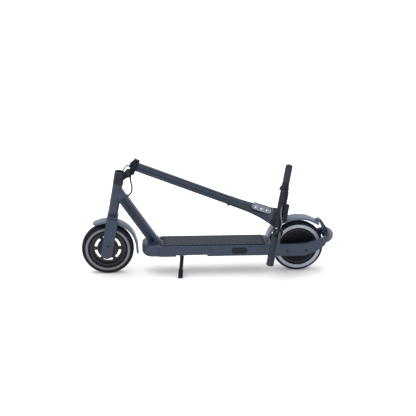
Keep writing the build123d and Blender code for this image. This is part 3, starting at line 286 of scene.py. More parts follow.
C_FRAME = (0.020, 0.032, 0.059)
M = {
    "frame_paint": paint("frame_paint", C_FRAME, 0.36, 0.10, spec=0.3),
    "stem_paint": paint("stem_paint", (0.014, 0.025, 0.046), 0.30, 0.18, spec=0.28),
    "guard": plastic("guard_plastic", (0.060, 0.083, 0.122), 0.34, 0.06, 1500.0, 0.08, 0.12),
    "dark_metal": paint("dark_coat", (0.0042, 0.0070, 0.0130), 0.38, 0.0, spec=0.12),
    "collar": paint("collar_coat", (0.0065, 0.0105, 0.0185), 0.32, 0.12, spec=0.2),
    # darker copy of the frame paint for the down tube's sides: painted shade
    "side_shade_paint": paint("side_shade_coat", (0.0085, 0.0150, 0.0270), 0.34, 0.1, spec=0.2),
    "rim": paint("rim_coat", (0.0055, 0.0075, 0.012), 0.36, 0.0, spec=0.3),
    # lighter, glossier copy of the rim paint for the rim lips: painted highlight
    "rim_lip_highlight": paint("rim_lip_highlight", (0.012, 0.015, 0.021), 0.28, 0.1, spec=0.4),
    "motor": paint("motor_coat", (0.0018, 0.0030, 0.0070), 0.44, 0.0, spec=0.12),
    "neck": plastic("neck_plastic", (0.0150, 0.0240, 0.0400), 0.36, 0.08, 1400.0, spec=0.35),
    "black_plastic": plastic("black_plastic", (0.0062, 0.0092, 0.0155), 0.46, spec=0.14),
    "tyre": rubber("tyre_rubber", (0.0048, 0.0060, 0.0082), 0.70, 0.20),
    "grip": rubber("grip_rubber", (0.0190, 0.0250, 0.0340), 0.72, 0.10, 0.45, 1100.0),
    "mat": rubber("mat_rubber", (0.012, 0.017, 0.025), 0.66, 0.10, 0.3, 900.0),
    # lighter copy of the mat rubber for the raised hexagon tops: painted light
    "mat_lit_top": rubber("mat_lit_top", (0.040, 0.050, 0.066), 0.60, 0.10, 0.35, 900.0),
    "cap": rubber("cap_rubber", (0.0095, 0.0120, 0.0165), 0.6, 0.1, 0.25, 900.0),
    "seam": plastic("seam_plastic", (0.0040, 0.0050, 0.0070), 0.6, spec=0.2),
    "ring_front": reflector("ring_front", (0.125, 0.138, 0.155)),
    "ring_rear": reflector("ring_rear", (0.29, 0.325, 0.39)),
    "steel": metal("steel", (0.52, 0.53, 0.55), 0.30),
    "dark_steel": metal("dark_steel", (0.035, 0.037, 0.043), 0.36, metallic=0.8),
    "black_steel": metal("black_steel", (0.0045, 0.005, 0.006), 0.45, metallic=0.4),
    "alloy": metal("alloy", (0.42, 0.45, 0.50), 0.34),
    "bezel": metal("bezel", (0.30, 0.33, 0.38), 0.26),
    "bowl": metal("bowl", (0.10, 0.12, 0.15), 0.26),
    "tray": plastic("tray", (0.030, 0.037, 0.048), 0.30, 0.05, 900.0, coat=0.3),
    "lever": metal("lever_alloy", (0.040, 0.048, 0.062), 0.34, metallic=0.7),
    "bell": metal("bell_coat", (0.016, 0.019, 0.026), 0.30, metallic=0.5),
    "red": lens("red_lens", (0.30, 0.008, 0.022), 0.18, None, 0.0, 0.35),
    "clear": lens("clear_lens", (0.42, 0.48, 0.56), 0.06, 0.16, 0.0),
    "cable": rubber("cable_black", (0.0060, 0.0072, 0.010), 0.5, 0.1, 0.1, 1200.0),
    "cable_grey": rubber("cable_grey", (0.12, 0.14, 0.165), 0.5, 0.1, 0.1, 1200.0),
    "glass_black": lens("glass_black", (0.004, 0.005, 0.007), 0.06),
    "seg": glow("seg", (0.16, 0.20, 0.24), 0.15),
    "led": glow("led", (0.80, 0.90, 1.0), 0.9),
    "cells": plastic("cell_wrap", (0.03, 0.09, 0.26), 0.4),
}
NODE_MAT = {
    "stem_tube": "stem_paint", "neck": "neck", "front_rim": "rim", "motor_shell": "motor",
    "front_side_rings": "ring_front", "rear_side_rings": "ring_rear", "charge_cap": "cap",
    "mode_button": "cap", "arm_bolts": "dark_steel", "hinge_pin": "dark_steel",
    "front_axle": "dark_steel", "mudguard_stay": "stem_paint", "headset_cups": "frame_paint",
    "steering_collar": "collar", "headlight_housing": "bezel", "brake_lever": "lever",
    "headlight_lens": "clear", "bell": "dark_metal",
}
SLOT_MAT = {
    "frame_paint": "frame_paint", "dark_metal": "dark_metal", "black_plastic": "black_plastic",
    "guard_plastic": "guard", "tyre_rubber": "tyre", "grip_rubber": "grip", "mat_rubber": "mat",
    "reflector": "ring_front", "steel": "steel", "alloy": "alloy", "red_lens": "red",
    "clear_lens": "clear", "cable_black": "cable", "cable_grey": "cable_grey", "cell_wrap": "cells",
}


def finish_mods(o, width=0.0006, angle=32, seg=2, weld=True, dec=True):
    if weld:
        w = o.modifiers.new("weld", "WELD")
        w.merge_threshold = 0.00001
    if dec:
        d = o.modifiers.new("flat", "DECIMATE")
        d.decimate_type = "DISSOLVE"
        d.angle_limit = radians(0.6)
    b = o.modifiers.new("edge", "BEVEL")
    b.width = width
    b.segments = seg
    b.limit_method = "ANGLE"
    b.angle_limit = radians(angle)
    b.use_clamp_overlap = True
    b.harden_normals = False
    n = o.modifiers.new("shade", "WEIGHTED_NORMAL")
    n.keep_sharp = False
    n.weight = 80


NOBEV = {"wiring_loop", "stem_cable", "brake_cable", "front_side_rings", "rear_side_rings", "battery_pack",
         "controller", "motor_stator", "front_bearings"}
for name, o in N.items():
    key = NODE_MAT.get(name) or SLOT_MAT[SLOT_OF[name]]
    o.data.materials.clear()
    o.data.materials.append(M[key])
    for p in o.data.polygons:
        p.use_smooth = True
    if name not in NOBEV:
        finish_mods(o)

# ------------------------------------------------------------------ mesh tools


def add(o, body, slot, *rep):
    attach(o, body)
    if rep:
        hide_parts(*rep)
    return o


def mesh_obj(name, verts, faces, mat, sharp=38.0):
    me = bpy.data.meshes.new(name)
    me.from_pydata([tuple(v) for v in verts], [], faces)
    bm = bmesh.new()
    bm.from_mesh(me)
    bmesh.ops.recalc_face_normals(bm, faces=bm.faces)
    bm.to_mesh(me)
    bm.free()
    for p in me.polygons:
        p.use_smooth = True
    me.set_sharp_from_angle(angle=radians(sharp))
    me.materials.append(mat)
    o = bpy.data.objects.new(name, me)
    bpy.context.scene.collection.objects.link(o)
    return o


class Build:
    # collects several closed shells into one object
    def __init__(self):
        self.v, self.f = [], []

    def loft(self, rings, wrap=False, caps=True):
        n, b = len(rings[0]), len(self.v)
        for r in rings:
            self.v.extend(r)
        m = len(rings)
        for i in range(m if wrap else m - 1):
            for j in range(n):
                a, c = b + i * n + j, b + i * n + (j + 1) % n
                d, e = b + ((i + 1) % m) * n + (j + 1) % n, b + ((i + 1) % m) * n + j
                self.f.append((a, c, d, e))
        if caps and not wrap:
            self.f.append(tuple(b + j for j in range(n)))
            self.f.append(tuple(b + (m - 1) * n + j for j in range(n)))
        return self

    def lathe(self, prof, C, ax, n=48, closed=False, phase=0.0):
        # prof: (radius, height) in mm; closed joins the last point to the first, as a ring
        ax = ax.normalized()
        u = ax.cross(Z if abs(ax.z) < 0.9 else X).normalized()
        w = ax.cross(u)
        rings = []
        for r, h in prof:
            rings.append([C + ax * h * K + (u * cos(phase + 2 * pi * k / n) + w * sin(phase + 2 * pi * k / n)) * max(r, 0.02) * K
                          for k in range(n)])
        return self.loft(rings, wrap=closed, caps=not closed)

    def screw(self, C, ax, r=3.0, h=1.8, hexr=1.5, n=24):
        ax = ax.normalized()
        u = ax.cross(Z if abs(ax.z) < 0.9 else X).normalized()
        w = ax.cross(u)

        def ring(rad, hh, hexa=False):
            out = []
            for k in range(n):
                t = 2 * pi * k / n
                q = rad
                if hexa:
                    q = rad * cos(pi / 6) / cos((t % (pi / 3)) - pi / 6)
                out.append(C + ax * hh * K + (u * cos(t) + w * sin(t)) * q * K)
            return out

        self.loft([ring(r, -0.8), ring(r, h * 0.62), ring(r * 0.93, h * 0.9), ring(r * 0.84, h), ring(hexr, h, True),
                   ring(hexr, h * 0.25, True), ring(0.05, h * 0.15)])
        return self

    def block(self, C, u, v, w, a, b, c, e=0.8):
        # block with broken edges: half sizes a, b, c in mm, edge e
        rings = []
        for hh, off in ((-c, e), (-c + e, 0), (c - e, 0), (c, e)):
            aa, bb = a - off, b - off
            pts = [(aa - e, -bb), (aa, -bb + e), (aa, bb - e), (aa - e, bb), (-aa + e, bb), (-aa, bb - e), (-aa, -bb + e), (-aa + e, -bb)]
            rings.append([C + u * p * K + v * q * K + w * hh * K for p, q in pts])
        return self.loft(rings)

    def tube(self, pts, r, n=14, caps=True):
        rings = []
        m = len(pts)
        t0 = (pts[1] - pts[0]).normalized()
        side = t0.cross(Y if abs(t0.y) < 0.9 else X).normalized()
        for i, p in enumerate(pts):
            t = (pts[min(i + 1, m - 1)] - pts[max(i - 1, 0)]).normalized()
            side = (side - t * side.dot(t)).normalized()
            o = t.cross(side)
            rr = r[i] if isinstance(r, (list, tuple)) else r
            rings.append([p + (side * cos(2 * pi * k / n) + o * sin(2 * pi * k / n)) * rr * K for k in range(n)])
        return self.loft(rings, caps=caps)

    def obj(self, name, mat, sharp=38.0):
        return mesh_obj(name, self.v, self.f, mat, sharp)


def catmull(pts, per):
    # passes through every point; returns per steps a span
    out = []
    n = len(pts)
    for i in range(n - 1):
        p0 = pts[i - 1] if i else pts[0] * 2 - pts[1]
        p1, p2 = pts[i], pts[i + 1]
        p3 = pts[i + 2] if i + 2 < n else pts[-1] * 2 - pts[-2]
        for k in range(per):
            t = k / per
            out.append(0.5 * ((2 * p1) + (p2 - p0) * t + (2 * p0 - 5 * p1 + 4 * p2 - p3) * t * t
                              + (3 * p1 - p0 - 3 * p2 + p3) * t ** 3))
    out.append(pts[-1].copy())
    return out


def nurbs(pts, res=10):
    c = bpy.data.curves.new("route", "CURVE")
    c.dimensions = "3D"
    s = c.splines.new("NURBS")
    s.points.add(len(pts) - 1)
    for q, p in zip(s.points, pts):
        q.co = (*p, 1)
    s.order_u = 3
    s.use_endpoint_u = True
    s.resolution_u = res
    o = bpy.data.objects.new("route", c)
    bpy.context.scene.collection.objects.link(o)
    dg = bpy.context.evaluated_depsgraph_get()
    me = bpy.data.meshes.new_from_object(o.evaluated_get(dg))
    out = [v.co.copy() for v in me.vertices]
    bpy.data.objects.remove(o)
    bpy.data.meshes.remove(me)
    bpy.data.curves.remove(c)
    return out


def slot_pts(L, W, n=14):
    # outline of a slot, counter-clockwise, with outward normals
    r, h = W / 2, (L - W) / 2
    out = []
    for c, a0 in ((h, -pi / 2), (-h, pi / 2)):
        for k in range(n + 1):
            a = a0 + pi * k / n
            out.append((c + r * cos(a), r * sin(a), cos(a), sin(a)))
    return out


def rrect(a, b, r, n=5):
    # rounded rectangle, half sizes a and b, outline with outward normals
    out = []
    for cx, cy, a0 in ((a - r, b - r, 0), (-a + r, b - r, pi / 2), (-a + r, -b + r, pi), (a - r, -b + r, 3 * pi / 2)):
        for k in range(n + 1):
            t = a0 + pi / 2 * k / n
            out.append((cx + r * cos(t), cy + r * sin(t), cos(t), sin(t)))
    return out


def plate(B, outline, C, u, v, w, prof):
    # stacks offset copies of an outline: prof is (inward offset, height)
    B.loft([[C + u * (x - nx * off) * K + v * (y - ny * off) * K + w * h * K for x, y, nx, ny in outline] for off, h in prof])
    return B


def frame_ring(B, outline, C, u, v, w, prof):
    # a closed section carried round an outline
    rings = [[C + u * (x + nx * a) * K + v * (y + ny * a) * K + w * h * K for a, h in prof] for x, y, nx, ny in outline]
    B.loft(rings, wrap=True)
    return B


# ------------------------------------------------------------------ tyres


def tyre(name, cx, body, node):
    nb, per = 54, 8
    n = nb * per
    side_l = [(84.0, -14.0), (84.2, -16.2), (85.6, -17.8), (88.2, -19.7), (91.4, -21.5), (93.0, -22.1), (93.6, -22.3),
              (101.0, -22.3), (109.2, -22.3), (110.2, -22.5), (111.4, -22.3), (113.4, -21.7)]
    tread = []
    ys = [-20.9, -20.2, -19.2, -17.6, -15.8, -13.6, -11.0, -8.6, -7.4, -6.4, -5.2, -3.0, -1.4, -0.5,
          0.5, 1.4, 3.0, 5.2, 6.4, 7.4, 8.6, 11.0, 13.6, 15.8, 17.6, 19.2, 20.2, 20.9]

    def crown(y):
        a = abs(y)
        tab = [(0, 122.45), (8, 122.3), (13.5, 121.9), (17, 120.4), (19.2, 118.4), (20.2, 116.9), (20.9, 115.2)]
        for (a0, r0), (a1, r1) in zip(tab, tab[1:]):
            if a <= a1:
                return r0 + (r1 - r0) * (a - a0) / (a1 - a0)
        return tab[-1][1]

    prof = side_l + [(crown(y), y) for y in ys] + [(r, -y) for r, y in side_l[::-1]]
    k0, k1 = len(side_l), len(side_l) + len(ys)
    rings = []
    for i in range(n):
        a = 2 * pi * i / n
        ring = []
        for j, (r, y) in enumerate(prof):
            d = 0.0
            if k0 <= j < k1:
                ay = abs(y)
                ph = (i / per + (0.5 if y > 0 else 0.0) + 0.030 * ay) % 1.0
                if ay > 8.0:
                    g = ph * per
                    d = 2.3 if g < 1.01 else (1.2 if g < 1.6 else 0.0)
                if 6.0 < ay < 7.6:
                    d = max(d, 2.2)
                if ay < 5.5:
                    ph2 = (i / per + 0.06 * y) % 1.0 * per
                    if ph2 < 0.8 and ay > 1.0:
                        d = max(d, 1.3)
                if ay > 19.5:
                    d *= 0.75
            rr = r - d
            ring.append(Vector((cx + rr * K * cos(a), y * K, AZ + rr * K * sin(a))))
        rings.append(ring)
    B = Build()
    B.loft(rings, wrap=True)
    add(B.obj(name, M["tyre"], 30), body, "tyre_rubber", node)
    # moulded wear line and bead line on each side wall
    B = Build()
    for sg in (-1, 1):
        C = Vector((cx, sg * 0.0, AZ))
        B.lathe([(r + 0.45 * cos(t), sg * (y + 0.45 * sin(t))) for r, y in ((89.6, 20.5),) for t in [2 * pi * q / 8 for q in range(8)]],
                C, Y, 160, closed=True)
        B.lathe([(r + 0.40 * cos(t), sg * (y + 0.40 * sin(t))) for r, y in ((112.2, 22.1),) for t in [2 * pi * q / 8 for q in range(8)]],
                C, Y, 160, closed=True)
    add(B.obj(name + "_lines", M["tyre"]), body, "tyre_rubber")


tyre("tread_front", FX, "front_wheel", "front_tyre")
tyre("tread_rear", RX, "rear_wheel", "rear_tyre")

for nm, cx, body, node, mt in (("band_front", FX, "front_wheel", "front_side_rings", "ring_front"),
                               ("band_rear", RX, "rear_wheel", "rear_side_rings", "ring_rear")):
    B = Build()
    bands = ((93.5, 22.0), (93.5, 22.6), (94.0, 23.0), (94.8, 23.15), (96.2, 22.95), (97.2, 23.1),
             (101, 23.28), (105.3, 23.1), (106.3, 22.95), (107.7, 23.15), (108.5, 23.0), (109.0, 22.6), (109.0, 22.0))
    if cx < 0:
        bands = [(93.5 + (r - 93.5) * 0.70, y) for r, y in bands]
    for sg in (-1, 1):
        B.lathe([(r, sg * y) for r, y in bands],
                Vector((cx, 0, AZ)), Y, 160, closed=True)
    add(B.obj(nm, M[mt]), body, "reflector", node)

# front wheel trim: rim flange, hub bolts, valve; flanges on the rear motor too
B = Build()
for k in range(6):
    a = radians(60 * k)
    B.screw(Vector((FX + 0.036 * cos(a), -0.0230, AZ + 0.036 * sin(a))), -Y, 3.0, 1.8, 1.5)
add(B.obj("hub_bolts", M["dark_steel"]), "front_wheel", "steel")
# rim lips in the lighter rim paint: painted highlight along the lip
B = Build()
for sg in (-1, 1):
    B.lathe([(84.4, sg * 16.2), (84.6, sg * 17.4), (83.6, sg * 18.4), (81.8, sg * 18.6), (80.2, sg * 17.6), (79.4, sg * 16.0), (80.4, sg * 15.6)],
            Vector((FX, 0, AZ)), Y, 128, closed=True)
add(B.obj("rim_flanges", M["rim_lip_highlight"]), "front_wheel", "dark_metal")
# motor lips in the lighter rim paint: painted highlight along the lip
B = Build()
for sg in (-1, 1):
    B.lathe([(84.4, sg * 16.2), (84.6, sg * 17.4), (83.6, sg * 18.6), (81.6, sg * 18.9), (79.8, sg * 18.4), (79.0, sg * 17.0), (80.4, sg * 16.4)],
            Vector((RX, 0, AZ)), Y, 128, closed=True)
add(B.obj("motor_flanges", M["rim_lip_highlight"]), "rear_wheel", "dark_metal")
B = Build()
va = radians(118)
vd = Vector((cos(va), 0, sin(va)))
vc = Vector((FX, -0.0085, AZ)) + vd * 0.074
B.lathe([(3.6, 0), (3.6, 1.2), (2.6, 1.8), (2.6, 9.0), (2.9, 9.2), (2.9, 13.0), (2.2, 14.0), (0.3, 14.1)], vc, -vd, 20)
add(B.obj("valve", M["cap"]), "front_wheel", "grip_rubber")

# motor covers: screws and turned steps
B = Build()
for sg in (-1, 1):
    for k in range(9):
        a = radians(40 * k + 12)
        B.screw(Vector((RX + 0.0685 * cos(a), sg * 0.02030, AZ + 0.0685 * sin(a))), Y * sg, 2.7, 1.5, 1.3)
add(B.obj("motor_screws", M["dark_steel"]), "rear_wheel", "steel")
B = Build()
for sg in (-1, 1):
    for r0, r1, h0, h1 in ((60.0, 62.0, 20.5, 21.25), (47.0, 48.6, 21.0, 21.7), (30.0, 32.0, 21.6, 22.3)):
        B.lathe([(r0, sg * h0), (r0 + 0.3, sg * h1), (r1 - 0.3, sg * h1), (r1, sg * h0), (r1, sg * (h0 - 0.5)), (r0, sg * (h0 - 0.5))],
                Vector((RX, 0, AZ)), Y, 128, closed=True)
add(B.obj("motor_steps", M["motor"]), "rear_wheel", "dark_metal")

# ------------------------------------------------------------------ mudguards
GR = [(748.5, 154.0), (752, 178), (766, 206), (789, 231), (822, 253), (862, 266), (905, 270.5), (946, 264.5), (982, 248.5), (1000, 236.0)]
GR_SK = [(758.0, 154.0), (761.5, 175.5), (774.5, 200.3), (796, 223), (826.5, 243.4), (863.7, 255.6), (904.8, 260), (943, 254.5),
         (976.6, 239.4), (993.6, 227.4)]
GF = [(-66.5, 249.0), (-35, 260.5), (0, 266.5), (25, 266.3), (60, 255.5), (98, 231.5), (126, 197.0), (140.5, 155.0), (143.5, 122.0), (145.5, 99.0)]
GF_SK = [(-63.5, 240.5), (-32.4, 250.8), (0.5, 256.3), (23.2, 256.1), (55.6, 246.2), (90.5, 224.4), (116.6, 192.6), (130.5, 153.3),
         (133.4, 122.0), (135.5, 99.6)]


def guard(name, out, skirt, w0, body, node, tip0, tip1, f0, f1):
    P = [Vector((gx(a), 0, b * K)) for a, b in out]
    S = [Vector((gx(a), 0, b * K)) for a, b in skirt]
    po, ps = catmull(P, 14), catmull(S, 14)
    acc = [0.0]
    for a, b in zip(po, po[1:]):
        acc.append(acc[-1] + (b - a).length * 1000)
    total = acc[-1]
    # finer stations where the tips round off
    st = sorted(set([0, 0.6, 1.6, 3, 5, 8, 12, 17, 23, 30] + [30 + (total - 60) * k / 56 for k in range(57)]
                    + [total - q for q in (30, 23, 17, 12, 8, 5, 3, 1.6, 0.6, 0)]))
    sec_o = [(-1.0, 1.0, 0), (-1.0, 0.72, 0), (-1.0, 0.46, 0), (-1.0, 0.30, 0.7), (-1.0, 0.17, 2.0), (-1.0, 0.08, 4.2), (-1.0, 0.035, 8.0), (-0.5, 0.01, 0), (0, 0.0, 0)]
    sec_i = [(-1.0, 1.0, 2.2), (-1.0, 0.72, 2.2), (-1.0, 0.52, 2.4), (-1.0, 0.42, 3.2), (-1.0, 0.34, 5.0), (-1.0, 0.30, 8.4), (-0.5, 0.26, 0), (0, 0.25, 0)]
    loop = sec_o + [(-a, d, -i) for a, d, i in sec_o[-2::-1]] + [(-a, d, -i) for a, d, i in sec_i] + [(a, d, i) for a, d, i in sec_i[-2::-1]]
    rings = []
    for s in st:
        j = 0
        while j < len(acc) - 2 and acc[j + 1] < s:
            j += 1
        t = (s - acc[j]) / max(1e-9, acc[j + 1] - acc[j])
        o, k = po[j].lerp(po[j + 1], t), ps[j].lerp(ps[j + 1], t)
        q = 1.0
        if s < tip0:
            q = f0 + (1 - f0) * sqrt(max(0, 1 - (1 - s / tip0) ** 2))
        if total - s < tip1:
            q = min(q, f1 + (1 - f1) * sqrt(max(0, 1 - (1 - (total - s) / tip1) ** 2)))
        dq = 0.45 + 0.55 * q
        w = w0 * (0.55 + 0.45 * q) if q < 1 else w0
        ring = []
        for a, d, inn in loop:
            yy = a * w + inn * (w / w0)
            ring.append(o + (k - o) * (d if d <= 0.3 else 0.3 + (d - 0.3) * (dq * q if q < 1 else 1)) + Y * yy * K)
        rings.append(ring)
    B = Build()
    B.loft(rings)
    return add(B.obj(name, M["guard"], 50), body, "guard_plastic", node)


guard("guard_front", GF, GF_SK, 32.0, "fork", "front_mudguard", 30, 16, 0.10, 0.3)
guard("guard_rear", GR, GR_SK, 34.0, "frame", "rear_mudguard", 6, 14, 0.8, 0.3)

# ------------------------------------------------------------------ deck mat
B = Build()
x0, x1, hw = 246.0, 741.0, 64.0
xc = (x0 + x1) / 2


def mat_outline(off):
    # rounded mat with a bay round the foot of the down tube
    a, b, r = (x1 - x0) / 2 - off, hw - off, 14.0 - off
    pts = []
    for cx, cy, a0 in ((a - r, b - r, 0), (-a + r, b - r, pi / 2)):
        for k in range(7):
            t = a0 + pi / 2 * k / 6
            pts.append((cx + r * cos(t), cy + r * sin(t)))
    bx, by, br = 15.0 + off, 33.0 + off, 10.0
    for k in range(5):
        t = pi / 2 * k / 4
        pts.append((-a + bx - br + br * sin(t) , by - br + br * cos(t))) if k else pts.append((-a, by))
    for k in range(5):
        t = pi / 2 * (4 - k) / 4
        pts.append((-a + bx - br + br * sin(t), -(by - br + br * cos(t)))) if k < 4 else pts.append((-a, -by))
    for cx, cy, a0 in ((-a + r, -b + r, pi), (a - r, -b + r, 3 * pi / 2)):
        for k in range(7):
            t = a0 + pi / 2 * k / 6
            pts.append((cx + r * cos(t), cy + r * sin(t)))
    return pts


def mring(off, z):
    return [Vector((gx(xc + px), py * K, z * K)) for px, py in mat_outline(off)]


B.loft([mring(0, 150.05), mring(0, 152.9), mring(0.5, 153.45), mring(1.2, 153.65), mring(3.0, 153.65), mring(3.6, 152.5), mring(4.2, 152.45)])
add(B.obj("mat_base", M["mat"], 40), "frame", "mat_rubber", "deck_mat")
# raised hexagons in the lighter mat rubber: painted light on their tops
B = Build()
px_, py_ = 21.5, 16.2
rows = int((2 * hw - 14) // py_)
for j in range(rows):
    yy = -(rows - 1) / 2 * py_ + j * py_
    i = 0
    while True:
        xx = x0 + 12 + i * px_ + (px_ / 2 if j % 2 else 0)
        i += 1
        if xx > x1 - 11:
            break
        if xx < x0 + 27 and abs(yy) < 43:
            continue
        if (xx > x1 - 16 or xx < x0 + 16) and abs(yy) > 52:
            continue
        a, b = 8.7, 6.2
        hexa = [(a, 0), (a * 0.45, b), (-a * 0.45, b), (-a, 0), (-a * 0.45, -b), (a * 0.45, -b)]
        C = Vector((gx(xx), yy * K, 0))
        B.loft([[C + Vector((p * s * K, q * s * K, z * K)) for p, q in hexa] for s, z in ((1.0, 152.2), (0.97, 153.2), (0.86, 153.7))])
add(B.obj("mat_blocks", M["mat_lit_top"], 30), "frame", "mat_rubber")

# ------------------------------------------------------------------ frame trim
B = Build()
# weld bead where the down tube meets the head tube
bead = []
for sgn in (1, -1):
    pts = []
    for k in range(-22, 23):
        yy = k * 1.02
        q = DC + Y * yy * K + DN * sgn * 23.0 * K
        # walk back along the tube until it meets the head tube
        d = DD
        rel = q - H0
        rp = rel - HA * rel.dot(HA)
        dp = d - HA * d.dot(HA)
        a2, b2, c2 = dp.dot(dp), 2 * rp.dot(dp), rp.dot(rp) - 0.02335 ** 2
        disc = b2 * b2 - 4 * a2 * c2
        if disc <= 0:
            continue
        t = (-b2 + sqrt(disc)) / (2 * a2)
        pts.append(q + d * t)
    random.seed(5 + sgn)
    B.tube(pts, [1.5 + 0.25 * sin(i * 2.1) for i in range(len(pts))], 10)
add(B.obj("weld_bead", M["frame_paint"], 60), "frame", "frame_paint")

B = Build()
for sg in (-1, 1):
    for xx, zz in ((843.4, 119.5), (933.2, 120.9)):
        B.screw(Vector((gx(xx), sg * 0.0750, zz * K)), Y * sg, 5.4, 1.9, 2.4, 24)
add(B.obj("arm_screws", M["black_steel"]), "frame", "steel", "arm_bolts")
B = Build()
for xx in (262, 330, 480, 560, 640, 740):
    for sg in (-1, 1):
        if 318 < xx < 468 and sg < 0:
            continue
        B.screw(Vector((gx(xx), sg * 0.0525, 0.0940)), -Z, 2.6, 1.1, 1.2, 18)
add(B.obj("cover_screws", M["dark_steel"]), "frame", "steel")
B = Build()
for yy in (-30, -10, 10, 30):
    plate(B, slot_pts(230, 7, 6), Vector((gx(610), yy * K, 0.0940)), X, Y, -Z, ((0, -0.3), (0.3, 0.5), (1.2, 0.9)))
add(B.obj("cover_ribs", M["black_plastic"]), "frame", "black_plastic")

# dark strips on the down tube's side faces: painted shade, the sides darker than the lit edges
B = Build()
for sg in (-1, 1):
    plate(B, rrect(128.0, 11.5, 5.0, 6), DC + DD * 0.178 + Y * sg * 0.0250, DD, DN, Y * sg, ((0, -0.6), (0.0, 0.25), (0.35, 0.5)))
add(B.obj("tube_side_shade", M["side_shade_paint"]), "frame", "frame_paint")

# seam gasket between the nose casting and the deck section
B = Build()
sec = [(-0.9, -0.9), (0.35, -0.9), (0.35, 0.9), (-0.9, 0.9)]
ol = rrect(72.0, 26.5, 8.0, 5)
frame_ring(B, ol, Vector((gx(240.2), 0, 0.1235)), Y, Z, X, sec)
add(B.obj("nose_seam", M["seam"]), "frame", "dark_metal")

# charging cap: lip and grip bar, and the surround in the frame
B = Build()
CC = Vector((gx(616.5), -0.0746, 0.1255))
frame_ring(B, slot_pts(64, 19, 12), CC, X, Z, -Y, [(-0.7, -0.4), (0.7, -0.4), (0.5, 0.55), (-0.5, 0.55)])
plate(B, slot_pts(30, 6, 8), CC - X * 0.002, X, Z, -Y, ((0, -0.3), (0.2, 0.6), (0.9, 1.0)))
add(B.obj("cap_lip", M["cap"]), "charge_cap", "grip_rubber")
B = Build()
frame_ring(B, slot_pts(73.5, 28.5, 12), Vector((gx(616.5), -0.0720, 0.1255)), X, Z, -Y, [(-1.4, -0.6), (1.0, -0.6), (0.8, 0.35), (-1.2, 0.35)])
add(B.obj("cap_surround", M["seam"]), "frame", "black_plastic")

# tail light: ribbed lens face
B = Build()
LC = Vector((gx(992.0), 0, 0))
for k in range(7):
    z = 167.4 + k * 2.55
    pts = []
    for q in range(-14, 15):
        a = q / 14 * 0.49
        pts.append(LC + X * 78.45 * K * cos(a) + Y * 78.45 * K * sin(a) + Z * z * K)
    B.tube(pts, 0.75, 8)
add(B.obj("tail_ribs", M["red"]), "frame", "red_lens")

# kickstand: torsion spring
B = Build()
sp = []
for k in range(97):
    a = 2 * pi * k / 24
    sp.append(KS + KAX * (-3.6 + 7.2 * k / 96) * K + X * 9.3 * K * cos(a) + KL * 9.3 * K * sin(a))
B.tube(sp, 0.75, 8)
add(B.obj("stand_spring", M["steel"]), "kickstand", "steel")

# ------------------------------------------------------------------ fork trim
B = Build()
for sg in (-1, 1):
    B.screw(Vector((gx(4.3), sg * 0.0580, 0.1524)), Y * sg, 5.0, 1.3, 2.3, 24)
add(B.obj("leg_screws", M["black_steel"]), "fork", "steel")
B = Build()
for w in (340.0, 368.0):
    B.screw(H0 + HA * w * K - Y * 23.3 * K, -Y, 2.8, 1.6, 1.5)
add(B.obj("collar_screws", M["black_steel"]), "fork", "steel")
B = Build()
for w in (326.5, 351.0):
    B.lathe([(23.7, w - 0.8), (24.4, w - 0.5), (24.4, w + 0.5), (23.7, w + 0.8), (23.2, w)], H0, HA, 96, closed=True)
add(B.obj("collar_lines", M["seam"]), "fork", "dark_metal")
B = Build()
for w in (180.0, 319.0):
    B.lathe([(23.0, w - 1.6), (23.6, w - 1.2), (23.6, w + 1.2), (23.0, w + 1.6), (22.6, w)], H0, HA, 96, closed=True)
add(B.obj("head_rings", M["frame_paint"]), "frame", "frame_paint")

# wiring loop, held by the bracket and the down tube
LOOP = [Vector((gx(112.0), 0, 0.4677)), Vector((gx(113.2), 0, 0.4510)), Vector((gx(118.6), 0, 0.4300)), Vector((gx(119.2), 0, 0.4070)),
        Vector((gx(111.7), 0, 0.3887)), Vector((gx(97.0), 0, 0.3787)) + DN * 7.15 * K]
route = nurbs(LOOP, 12)
B = Build()
B.tube(route, 3.6, 16)
o = B.obj("loop_cable", M["cable"])
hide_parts("wiring_loop")
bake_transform(o)
B = Build()
B.lathe([(5.0, -1.0), (5.0, 1.5), (4.0, 2.6), (3.2, 6.0), (2.9, 6.2)], LOOP[0] + Z * 0.001, (LOOP[1] - LOOP[0]).normalized(), 24)
add(B.obj("loop_boot_top", M["black_plastic"]), "fork", "black_plastic")

SC = [H0 + HA * 0.354 + HP * 0.005, H0 + HA * 0.372 + HP * 0.0075, Vector((gx(81.0), 0, 0.5055)), Vector((gx(90.0), 0, 0.5185)),
      B0 - SD * 0.016 - SU * 0.008, B0 - SD * 0.006 - SU * 0.008]
route = nurbs(SC, 12)
B = Build()
B.tube(route, 2.6, 16)
o = B.obj("fold_cable", M["cable"])
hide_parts("stem_cable")
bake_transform(o)

# ------------------------------------------------------------------ stem skin
GROOVES = (1.0, 55.0, 125.0, 179.0, 232.0, 308.0)


def stem_ring(s_, off=0.0):
    ring = []
    for k in range(180):
        a = 2.0 * k
        r = 21.0 + 0.35 * cos(radians(a * 6.0)) + off
        for g in GROOVES:
            dd = abs((a - g + 180) % 360 - 180)
            if dd < 6.5:
                r -= 1.5 * min(1.0, (6.5 - dd) / 1.6)
        ring.append(stem(r * cos(radians(a)), r * sin(radians(a)), s_))
    return ring


B = Build()
B.loft([stem_ring(27.2, -0.8), stem_ring(28.0), stem_ring(482.2), stem_ring(482.9, -0.8)])
add(B.obj("stem_skin", M["stem_paint"], 25), "stem", "frame_paint", "stem_tube")
# near-black strips at the bottom of the stem's grooves: painted shade in the grooves
B = Build()
for g in GROOVES:
    for dv in (0.0,):
        u_ = Y * cos(radians(g)) + SU * sin(radians(g))
        w_ = SD.cross(u_)
        B.block(B0 + SD * 0.2555 + u_ * 19.55 * K, SD, w_, u_, 224.0, 1.25, 0.35, 0.15)
add(B.obj("stem_groove_shade", M["seam"]), "stem", "dark_metal")
